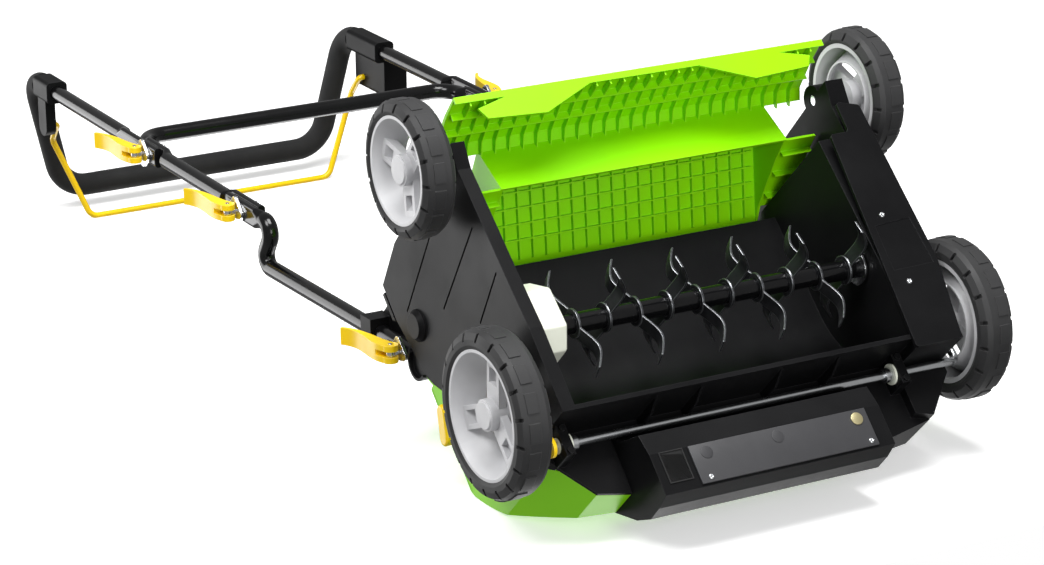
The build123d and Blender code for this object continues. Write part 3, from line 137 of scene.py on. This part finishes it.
@dataclass(frozen=True)
class Finish:
    """A surface: what it is made of, its colours and its fine relief."""

    name: str
    colour: str                  # sRGB hex
    shade: str                   # second tone that it drifts towards
    roughness: float
    grain: Grain
    grain_mm: float              # spacing of the relief
    relief_mm: float             # height of the relief
    metallic: float = 0.0
    edge: str = ""               # colour of rubbed edges, if any: partly wear, partly painted highlight
    edge_mm: float = 0.8         # rounding and rubbing of edges
    coat: float = 0.0
    sheen: float = 0.0
    specular: float = 0.5        # strength of the clear reflection
    drift_mm: float = 70.0       # spacing of the drift between the two tones

    def build(self) -> bpy.types.Material:
        """Make the node material for this surface.

        Returns:
            The new material.
        """
        material = bpy.data.materials.new(self.name)
        material.use_nodes = True
        tree = material.node_tree
        tree.nodes.clear()
        where = add_node(tree, "ShaderNodeTexCoord").outputs["Object"]
        drift = add_node(
            tree, "ShaderNodeTexNoise", {"Scale": MM_PER_METRE / self.drift_mm, "Detail": 4.0, "Roughness": 0.6},
            {"Vector": where},
        )
        share = add_node(
            tree, "ShaderNodeMapRange", {"From Min": DRIFT_SPAN[0], "From Max": DRIFT_SPAN[1]},
            {"Value": drift.outputs["Fac"]},
        )
        tone = add_node(
            tree, "ShaderNodeMix", {"data_type": "RGBA", 6: linear(self.colour), 7: linear(self.shade)},
            {0: share.outputs["Result"]},
        ).outputs[2]
        rounded = add_node(tree, "ShaderNodeBevel", {"samples": BEVEL_SAMPLES, "Radius": self.edge_mm * MM})
        if self.edge:
            tone = self._rub_and_highlight_edges(tree, where, rounded.outputs["Normal"], tone)
        polish = add_node(
            tree, "ShaderNodeMapRange",
            {
                "From Min": POLISH_NOISE[0], "From Max": POLISH_NOISE[1],
                "To Min": self.roughness * POLISH_SPAN[0], "To Max": min(1.0, self.roughness * POLISH_SPAN[1]),
            },
            {"Value": drift.outputs["Fac"]},
        )
        bump = add_node(
            tree, "ShaderNodeBump", {"Strength": 1.0, "Distance": self.relief_mm * MM},
            {"Height": self._relief(tree, where), "Normal": rounded.outputs["Normal"]},
        )
        shader = add_node(
            tree, "ShaderNodeBsdfPrincipled",
            {
                "Metallic": self.metallic, "Coat Weight": self.coat, "Coat Roughness": COAT_ROUGHNESS,
                "Sheen Weight": self.sheen, "Sheen Roughness": SHEEN_ROUGHNESS, "Specular IOR Level": self.specular,
            },
            {"Base Color": tone, "Roughness": polish.outputs["Result"], "Normal": bump.outputs["Normal"]},
        )
        add_node(tree, "ShaderNodeOutputMaterial", links={"Surface": shader.outputs["BSDF"]})
        return material

    def _rub_and_highlight_edges(
        self, tree: bpy.types.NodeTree, where: bpy.types.NodeSocket, rounded: bpy.types.NodeSocket,
        tone: bpy.types.NodeSocket,
    ) -> bpy.types.NodeSocket:
        """Lighten the edges, in scratches: partly wear, partly painted highlight along the rims.

        Args:
            tree: the material's node tree.
            where: socket with object coordinates.
            rounded: socket with the normal of the rounded edges.
            tone: socket with the surface's colour.

        Returns:
            Socket with the colour, rubbed at the edges.
        """
        plain = add_node(tree, "ShaderNodeNewGeometry")
        bend = add_node(
            tree, "ShaderNodeVectorMath", {"operation": "DOT_PRODUCT"}, {0: rounded, 1: plain.outputs["Normal"]},
        )
        scratches = add_node(
            tree, "ShaderNodeTexNoise", {"Scale": MM_PER_METRE / SCRATCH_MM, "Detail": 5.0}, {"Vector": where},
        )
        wear_and_highlight = add_node(
            tree, "ShaderNodeMapRange", {"From Min": RUB_SPAN[0], "From Max": RUB_SPAN[1]},
            {"Value": bend.outputs["Value"]},
        )
        amount = add_node(
            tree, "ShaderNodeMath", {"operation": "MULTIPLY"},
            {0: wear_and_highlight.outputs["Result"], 1: scratches.outputs["Fac"]},
        )
        return add_node(
            tree, "ShaderNodeMix", {"data_type": "RGBA", 7: linear(self.edge)}, {0: amount.outputs["Value"], 6: tone},
        ).outputs[2]

    def _relief(self, tree: bpy.types.NodeTree, where: bpy.types.NodeSocket) -> bpy.types.NodeSocket:
        """Height pattern of the fine relief.

        Args:
            tree: the material's node tree.
            where: socket with object coordinates.

        Returns:
            Socket with the height.
        """
        scale = MM_PER_METRE / self.grain_mm
        if self.grain is Grain.CELLS:
            cells = add_node(tree, "ShaderNodeTexVoronoi", {"feature": "SMOOTH_F1", "Scale": scale}, {"Vector": where})
            return cells.outputs["Distance"]
        if self.grain is Grain.DRAWN:
            stretch = add_node(tree, "ShaderNodeMapping", {"Scale": (DRAWN_STRETCH, 1.0, 1.0)}, {"Vector": where})
            lines = add_node(
                tree, "ShaderNodeTexNoise", {"Scale": scale, "Detail": 3.0}, {"Vector": stretch.outputs["Vector"]},
            )
            return lines.outputs["Fac"]
        detail = {Grain.SPARK: 3.0, Grain.SKIN: 1.0, Grain.TYRE: 6.0}[self.grain]
        noise = add_node(tree, "ShaderNodeTexNoise", {"Scale": scale, "Detail": detail}, {"Vector": where})
        return noise.outputs["Fac"]


# Black ABS, spark-eroded mould: near-black satin with a faint, wide highlight.
BLACK_ABS = Finish(
    "black moulded ABS", "0F0F10", "151516", 0.38, Grain.SPARK, 1.1, 0.05, edge="3A3A3C", specular=0.09, drift_mm=140,
)
# Green ABS, moulded semi-gloss: saturated yellowish green with a soft highlight.
GREEN_ABS = Finish(
    "green moulded ABS", "8CDE00", "82D800", 0.36, Grain.SPARK, 1.4, 0.03, edge="B8EE44", specular=0.25, drift_mm=220,
)
# Amber acetal: warm yellow, slightly waxy highlight.
AMBER_ACETAL = Finish("amber moulded acetal", "FFD800", "FFD000", 0.33, Grain.SPARK, 1.4, 0.03, edge="FFE27A", coat=0.1)
# Light grey polypropylene of the hubs: even, matt-satin.
GREY_PP = Finish("light grey polypropylene", "C9C9CB", "BDBDC0", 0.4, Grain.SPARK, 1.2, 0.03, edge="E2E2E4")
# Ivory acetal of the bearing block: pale, dense, slightly green.
IVORY_ACETAL = Finish("ivory acetal", "E7EADB", "D9DDCB", 0.4, Grain.SPARK, 1.2, 0.03)
# Tyre rubber: dull black with dust in its relief.
TYRE_RUBBER = Finish("soft tyre rubber", "1B1B1C", "242425", 0.62, Grain.TYRE, 1.8, 0.1, edge="39393A", sheen=0.05)
# Closed-cell foam sleeve: matt black, fine cells; drawn 1.3 mm so that they show.
NBR_FOAM = Finish("closed-cell foam", "121213", "18181A", 0.9, Grain.CELLS, 1.3, 0.16, sheen=0.04)
# Powder-coated steel tube: gloss black with slight orange peel.
GLOSS_COAT = Finish("gloss black powder coat", "080809", "0C0C0D", 0.17, Grain.SKIN, 3.0, 0.02, coat=0.06, specular=0.4)
# Amber enamel on a bent rod.
AMBER_ENAMEL = Finish("amber enamel on rod", "FFD400", "FFCC00", 0.24, Grain.SKIN, 3.0, 0.02, coat=0.3)
# Zinc plate on steel: pale bluish metal with drawing lines.
ZINC_PLATE = Finish("bright zinc plate", "E2E4E6", "D2D5D8", 0.24, Grain.DRAWN, 0.8, 0.02, metallic=1.0)
# Spring steel knives: blackened faces with edges ground bright, brightened further as painted highlight.
KNIFE_STEEL = Finish(
    "blackened spring steel", "4A4B4E", "2C2D30", 0.33, Grain.DRAWN, 1.0, 0.03, metallic=0.85, edge="D9DCE0",
    edge_mm=1.6, drift_mm=25,
)
# Reinforced rubber belt.
BELT_RUBBER = Finish("reinforced belt rubber", "1A1A1A", "232323", 0.7, Grain.TYRE, 1.0, 0.05)
# Motor can: phosphated steel.
MOTOR_STEEL = Finish("phosphated steel", "5A5C5F", "48494C", 0.5, Grain.DRAWN, 1.0, 0.03, metallic=0.9)

# Matt ABS of the service plate: a shade lighter than the housing round it.
PLATE_ABS = Finish(
    "grey-black moulded ABS", "38383A", "303032", 0.5, Grain.SPARK, 1.1, 0.04, edge="6A6A6C", specular=0.3,
)
# Recess floors: the same ABS, darkened as painted shade.
SHADED_RECESS_ABS = Finish("deep black ABS", "0A0A0B", "101011", 0.6, Grain.SPARK, 1.1, 0.04)
# Brass insert with a dulled, pale face.
PALE_BRASS = Finish("dulled pale brass", "B8AE86", "9E946E", 0.45, Grain.DRAWN, 0.8, 0.02, metallic=0.8)
# Music wire of the flap springs: bright, drawn.
MUSIC_WIRE = Finish("bright music wire", "AEB2B6", "8E9297", 0.28, Grain.DRAWN, 0.6, 0.01, metallic=1.0)

SLOT_FINISH: dict[str, Finish] = {
    "black_plastic": BLACK_ABS, "green_plastic": GREEN_ABS, "amber_plastic": AMBER_ACETAL, "grey_plastic": GREY_PP,
    "ivory_plastic": IVORY_ACETAL, "tyre_rubber": TYRE_RUBBER, "foam": NBR_FOAM, "black_paint": GLOSS_COAT,
    "zinc_steel": ZINC_PLATE, "knife_steel": KNIFE_STEEL, "bail_paint": AMBER_ENAMEL, "belt_rubber": BELT_RUBBER,
    "motor_iron": MOTOR_STEEL,
}


class Paintshop:
    """Keeps one material for each finish and gives the CAD nodes theirs."""

    def __init__(self) -> None:
        """Start with no materials made."""
        self._made: dict[str, bpy.types.Material] = {}

    def material(self, finish: Finish) -> bpy.types.Material:
        """The material of a finish, made the first time it is asked for.

        Args:
            finish: the finish.

        Returns:
            Its material.
        """
        if finish.name not in self._made:
            self._made[finish.name] = finish.build()
        return self._made[finish.name]

    def dress_nodes(self) -> None:
        """Give every CAD node the finish of its material slot."""
        for row in frame["record"]["subparts"]:
            node = frame["nodes"][row["node"]]
            material = self.material(SLOT_FINISH[row["material_slot"]])
            for target in [node, *node.children_recursive]:
                if target.type == "MESH":
                    target.data.materials.clear()
                    target.data.materials.append(material)
            log.info("finished %s in %s", row["node"], material.name)


@dataclass
class Studio:
    """Camera, lamps, floors and background."""

    eye_mm: tuple[float, float, float] = (1871.93, -1152.55, -2851.45)
    right: tuple[float, float, float] = (-0.87143, -0.35255, -0.34106)
    down: tuple[float, float, float] = (0.16492, -0.86540, 0.47316)
    forward: tuple[float, float, float] = (-0.46197, 0.35608, 0.81228)
    lens: float = 120.06
    sensor: float = 36.0
    far: float = 50.0                        # beyond which the camera sees nothing, in metres
    rest_angle: float = 46.5                 # slope of the line from the cover to the grip, in degrees
    cover_touch_mm: tuple[float, float, float] = (0.0, -50.0, 242.0)
    floor_half: float = 14.0                 # half the floors' sides, in metres
    floor_drop: float = 0.5                  # of the standing floor under the tyres, in millimetres
    paper_glow: float = 0.42                 # light of the paper's own, so that it reads as white
    ambient: float = 0.3                     # strength of the background where it isn't seen directly
    aim: tuple[float, float, float] = (0.0, 0.0, 0.4)

    def build(self) -> None:
        """Make everything that isn't the object."""
        self._camera()
        self._world()
        self._lamps()
        slope = math.radians(self.rest_angle)
        lying_up = Vector((0, math.sin(slope), -math.cos(slope)))
        self._floor("lying_floor", place(*self.cover_touch_mm), lying_up, from_below=True)
        self._floor("standing_floor", Vector((0, 0, -self.floor_drop * MM)), Vector((0, 0, 1)))

    def _camera(self) -> None:
        """Camera at the catalogue view, from below the nose."""
        data = bpy.data.cameras.new("catalogue_camera")
        data.sensor_width, data.lens, data.clip_end = self.sensor, self.lens, self.far
        camera = bpy.data.objects.new("catalogue_camera", data)
        bpy.context.collection.objects.link(camera)
        turn = Matrix((self.right, [-v for v in self.down], [-v for v in self.forward])).transposed()
        camera.matrix_world = Matrix.Translation(place(*self.eye_mm)) @ turn.to_4x4()
        bpy.context.scene.camera = camera
        bpy.context.scene.view_settings.view_transform = "Standard"

    def _world(self) -> None:
        """Soft even light, with a white background for the camera and through clear pieces."""
        world = bpy.data.worlds.new("white_room")
        bpy.context.scene.world = world
        world.use_nodes = True
        tree = world.node_tree
        tree.nodes.clear()
        path = add_node(tree, "ShaderNodeLightPath")
        seen = add_node(
            tree, "ShaderNodeMath", {"operation": "MAXIMUM"},
            {0: path.outputs["Is Camera Ray"], 1: path.outputs["Is Transmission Ray"]},
        )
        strength = add_node(
            tree, "ShaderNodeMapRange", {"To Min": self.ambient, "To Max": 1.0}, {"Value": seen.outputs["Value"]},
        )
        light = add_node(
            tree, "ShaderNodeBackground", {"Color": (1, 1, 1, 1)}, {"Strength": strength.outputs["Result"]},
        )
        add_node(tree, "ShaderNodeOutputWorld", links={"Surface": light.outputs["Background"]})

    def _lamps(self) -> None:
        """Large soft lamps above the lying machine and above the standing one: place, watts and side."""
        lamps = (
            ("key", (1.9, 1.3, -1.8), 62.0, 1.4), ("over", (0.0, 1.5, -2.1), 95.0, 1.6),
            ("top", (-1.0, -1.2, 3.4), 50.0, 2.0), ("back", (1.7, 1.5, 2.4), 42.0, 2.0),
            ("fill", (0.3, -1.5, -2.0), 36.0, 1.2),
        )
        for name, spot, power, size in lamps:
            data = bpy.data.lights.new(name, "AREA")
            data.energy, data.size = power, size
            lamp = bpy.data.objects.new(name, data)
            bpy.context.collection.objects.link(lamp)
            lamp.location = spot
            lamp.rotation_euler = (Vector(self.aim) - lamp.location).to_track_quat("-Z", "Y").to_euler()

    def _floor(self, name: str, touch: Vector, up: Vector, from_below: bool = False) -> None:
        """Floor that shows only from its upper side.

        Args:
            name: the floor's name.
            touch: a point on it.
            up: its upward normal.
            from_below: show it only through the clear underside of the standing floor, so that from
                above the ground it hides nothing that folds through it.
        """
        bm = bmesh.new()
        bmesh.ops.create_grid(bm, x_segments=1, y_segments=1, size=self.floor_half)
        turn = up.to_track_quat("Z", "Y").to_matrix().to_4x4()
        bmesh.ops.transform(bm, matrix=Matrix.Translation(touch) @ turn, verts=bm.verts)
        mesh = bpy.data.meshes.new(name)
        bm.to_mesh(mesh)
        bm.free()
        floor = bpy.data.objects.new(name, mesh)
        bpy.context.collection.objects.link(floor)
        mesh.materials.append(self._floor_material(name, from_below))

    def _floor_material(self, name: str, from_below: bool) -> bpy.types.Material:
        """White paper that keeps shadows and can't be seen from behind.

        Args:
            name: the floor's name.
            from_below: show it only to rays that have passed through another clear floor.

        Returns:
            The material.
        """
        material = bpy.data.materials.new(name + "_paper")
        material.use_nodes = True
        tree = material.node_tree
        tree.nodes.clear()
        path = add_node(tree, "ShaderNodeLightPath")
        side = add_node(tree, "ShaderNodeNewGeometry")
        matt = add_node(tree, "ShaderNodeBsdfDiffuse", {"Color": linear("F2F2F2")})
        glow = add_node(tree, "ShaderNodeEmission", {"Color": (1, 1, 1, 1), "Strength": self.paper_glow})
        both = add_node(tree, "ShaderNodeAddShader", links={0: matt.outputs["BSDF"], 1: glow.outputs["Emission"]})
        clear = add_node(tree, "ShaderNodeBsdfTransparent")
        front = add_node(tree, "ShaderNodeMath", {"operation": "SUBTRACT", 0: 1.0}, {1: side.outputs["Backfacing"]})
        paper = add_node(
            tree, "ShaderNodeMath", {"operation": "MULTIPLY"}, {0: front.outputs[0], 1: path.outputs["Is Camera Ray"]},
        )
        if from_below:
            passed = add_node(
                tree, "ShaderNodeMath", {"operation": "GREATER_THAN", 1: 0.5}, {0: path.outputs["Transparent Depth"]},
            )
            paper = add_node(
                tree, "ShaderNodeMath", {"operation": "MULTIPLY"}, {0: paper.outputs[0], 1: passed.outputs[0]},
            )
        shown = add_node(
            tree, "ShaderNodeMixShader", links={0: paper.outputs[0], 1: clear.outputs[0], 2: both.outputs[0]},
        )
        add_node(tree, "ShaderNodeOutputMaterial", links={"Surface": shown.outputs[0]})
        return material


def finish_piece(
    name: str, bm: bmesh.types.BMesh, material: bpy.types.Material, body: str,
    rounding_mm: float = 0.0, replaces: Sequence[str] = (),
) -> bpy.types.Object:
    """Turn a bmesh into a piece that rides on a body.

    Args:
        name: the piece's name.
        bm: its mesh, in metres and in place; it is freed.
        material: its material.
        body: the body that it rides on.
        rounding_mm: radius of its rounded edges, or 0 for none.
        replaces: CAD nodes that it stands for.

    Returns:
        The new object.
    """
    bmesh.ops.remove_doubles(bm, verts=bm.verts, dist=MERGE_DISTANCE)
    if rounding_mm:
        sharp = [e for e in bm.edges if len(e.link_faces) == 2 and e.calc_face_angle(0.0) > SMOOTH_ANGLE]
        bmesh.ops.bevel(
            bm, geom=sharp, offset=rounding_mm * MM, segments=2, profile=0.5, affect="EDGES", material=NO_MATERIAL,
            clamp_overlap=True,
        )
    bmesh.ops.recalc_face_normals(bm, faces=bm.faces)
    for face in bm.faces:
        face.smooth = True
    for edge in bm.edges:
        edge.smooth = len(edge.link_faces) == 2 and edge.calc_face_angle(0.0) < SMOOTH_ANGLE
    mesh = bpy.data.meshes.new(name)
    bm.to_mesh(mesh)
    bm.free()
    piece = bpy.data.objects.new(name, mesh)
    bpy.context.collection.objects.link(piece)
    mesh.materials.append(material)
    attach(piece, body)
    if replaces:
        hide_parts(*replaces)
    log.info("built %s with %d faces", name, len(mesh.polygons))
    return piece


def add_block(bm: bmesh.types.BMesh, low: Vector, high: Vector) -> None:
    """Add a block between two corners."""
    matrix = Matrix.Translation((low + high) / 2) @ Matrix.Diagonal((*(high - low), 1.0))
    bmesh.ops.create_cube(bm, size=1.0, matrix=matrix)


def add_disc(
    bm: bmesh.types.BMesh, centre: Vector, axis: Vector, radius_mm: float, height_mm: float, top_mm: float = 0.0,
    sides: int = 32,
) -> None:
    """Add a round disc that stands on a point.

    Args:
        bm: mesh that gets it.
        centre: middle of its foot, in metres.
        axis: direction in which it stands.
        radius_mm: radius of its foot.
        height_mm: its height.
        top_mm: radius of its top, or 0 for the same as the foot.
        sides: number of sides.
    """
    turn = axis.normalized().to_track_quat("Z", "Y").to_matrix().to_4x4()
    matrix = Matrix.Translation(centre + axis.normalized() * height_mm * MM / 2) @ turn
    bmesh.ops.create_cone(
        bm, cap_ends=True, segments=sides, radius1=radius_mm * MM, radius2=(top_mm or radius_mm) * MM,
        depth=height_mm * MM, matrix=matrix,
    )


@dataclass
class Screw:
    """Pan-head screw with a round recess."""

    head_mm: float = 3.6                 # radius of the head
    height_mm: float = 1.8
    crown_share: float = 0.72            # top of the head against its foot
    rim_share: float = 0.34              # ring round the recess against the head
    wall_mm: float = 0.12                # slope of the recess's walls
    recess_mm: float = 1.0
    rounding_mm: float = 0.2
    sides: int = 24

    def build(self, name: str, seat: Vector, axis: Vector, body: str, shop: Paintshop) -> None:
        """Make one screw head.

        Args:
            name: the piece's name.
            seat: middle of its seat, in metres.
            axis: direction in which its head faces.
            body: the body that it rides on.
            shop: keeper of materials.
        """
        bm = bmesh.new()
        add_disc(bm, seat, axis, self.head_mm, self.height_mm, self.head_mm * self.crown_share, self.sides)
        top = max(bm.faces, key=lambda f: f.calc_center_median().dot(axis))
        bmesh.ops.inset_region(bm, faces=[top], thickness=self.head_mm * self.rim_share * MM, depth=0.0)
        bmesh.ops.inset_region(bm, faces=[top], thickness=self.wall_mm * MM, depth=-self.recess_mm * MM)
        finish_piece(name, bm, shop.material(ZINC_PLATE), body, self.rounding_mm)


@dataclass
class ServicePlate:
    """Plate under the motor with its bosses, screws and the recesses beside it."""

    low: tuple[float, float] = (-92.0, -142.5)
    high: tuple[float, float] = (124.0, -99.5)
    under: float = 34.0                  # height of the plate's lower face
    thick: float = 3.0
    rounding: float = 0.8
    boss_x: tuple[float, float] = (106.0, 20.0)
    boss_y: float = -110.0               # line of the bosses and the insert
    boss_r: float = 7.0
    boss_height: float = 0.9
    boss_rounding: float = 0.3
    sink: float = 0.2                    # of the bosses and the insert into the plate
    insert_x: float = -78.0
    insert_height: float = 1.4
    insert_rounding: float = 0.4
    screw_x: tuple[float, float] = (112.0, -84.0)
    screw_y: float = -137.0
    screw_head: float = 3.4
    screw_height: float = 1.6
    recess_low: tuple[float, float, float] = (130.0, -134.0, 36.0)
    recess_high: tuple[float, float, float] = (158.0, -99.0, 37.2)
    recess_rim: float = 1.5
    recess_wall: float = 0.2
    recess_depth: float = 1.0

    def build(self, shop: Paintshop) -> None:
        """Build the plate and what is on it.

        Args:
            shop: keeper of materials.
        """
        bm = bmesh.new()
        add_block(bm, place(*self.low, self.under), place(*self.high, self.under + self.thick))
        finish_piece(
            "service_plate", bm, shop.material(PLATE_ABS), "deck", self.rounding, ["motor_cover"],
        )
        for name, x in zip(("left", "middle"), self.boss_x):
            bm = bmesh.new()
            add_disc(bm, place(x, self.boss_y, self.under + self.sink), DOWN, self.boss_r, self.boss_height)
            finish_piece(
                f"plate_boss_{name}", bm, shop.material(PLATE_ABS), "deck", self.boss_rounding,
            )
        bm = bmesh.new()
        add_disc(
            bm, place(self.insert_x, self.boss_y, self.under + self.sink), DOWN, self.boss_r, self.insert_height,
        )
        finish_piece("plate_insert", bm, shop.material(PALE_BRASS), "deck", self.insert_rounding)
        screw = Screw(head_mm=self.screw_head, height_mm=self.screw_height)
        for name, x in zip(("left", "right"), self.screw_x):
            screw.build(f"plate_screw_{name}", place(x, self.screw_y, self.under), DOWN, "deck", shop)
        self._recess(shop)

    def _recess(self, shop: Paintshop) -> None:
        """Build the sunk field with a raised rim beside the plate, darkened as painted shade.

        Args:
            shop: keeper of materials.
        """
        bm = bmesh.new()
        add_block(bm, place(*self.recess_low), place(*self.recess_high))
        under = min(bm.faces, key=lambda f: f.calc_center_median().z)
        bmesh.ops.inset_region(bm, faces=[under], thickness=self.recess_rim * MM, depth=0.0)
        bmesh.ops.inset_region(bm, faces=[under], thickness=self.recess_wall * MM, depth=-self.recess_depth * MM)
        # the field is drawn in the darkened ABS: painted shade
        finish_piece("front_recess", bm, shop.material(SHADED_RECESS_ABS), "deck")


@dataclass
class CaseScrews:
    """Screws that hold the cover under the belt case."""

    rear: tuple[float, float, float] = (-210.0, 109.0, 28.0)
    front: tuple[float, float, float] = (-207.0, 27.0, 28.0)

    def build(self, shop: Paintshop) -> None:
        """Set both screws.

        Args:
            shop: keeper of materials.
        """
        for name, spot in (("rear", self.rear), ("front", self.front)):
            Screw().build(f"case_screw_{name}", place(*spot), DOWN, "deck", shop)


@dataclass
class FlapSprings:
    """Torsion springs on the flap's hinge pins, one at each end."""

    coil_r: float = 5.4
    wire_r: float = 0.75
    start: float = 184.0                 # inner end of the left spring
    pitch: float = 1.9
    turns: int = 7
    steps: int = 20                      # along each turn
    wire_sides: int = 8
    hinge: tuple[float, float] = (205.0, 212.0)

    def build(self, shop: Paintshop) -> None:
        """Wind both springs.

        Args:
            shop: keeper of materials.
        """
        for name, out in (("left", 1), ("right", -1)):
            bm = bmesh.new()
            centre = place(out * self.start, *self.hinge)
            wire = centre + Vector((0, self.coil_r * MM, 0))
            ring = bmesh.ops.create_circle(
                bm, segments=self.wire_sides, radius=self.wire_r * MM,
                matrix=Matrix.Translation(wire) @ Matrix.Rotation(math.pi / 2, 4, "Y"),
            )["verts"]
            bmesh.ops.rotate(bm, verts=ring, cent=wire, matrix=Matrix.Rotation(math.pi / 2, 3, "Z"))
            edges = list({e for v in ring for e in v.link_edges})
            bmesh.ops.spin(
                bm, geom=ring + edges, cent=centre, axis=(1, 0, 0), angle=2 * math.pi * self.turns,
                steps=self.steps * self.turns, dvec=(out * self.pitch * MM / self.steps, 0, 0),
            )
            bmesh.ops.holes_fill(bm, edges=[e for e in bm.edges if e.is_boundary], sides=self.wire_sides)
            finish_piece(f"flap_spring_{name}", bm, shop.material(MUSIC_WIRE), "deck")


def main() -> None:
    """Build the studio, then each sub-assembly in order."""
    logging.basicConfig(level=logging.INFO, format="%(message)s")
    shop = Paintshop()
    Studio().build()
    shop.dress_nodes()
    ServicePlate().build(shop)
    FlapSprings().build(shop)
    CaseScrews().build(shop)


if __name__ == "__main__":
    main()
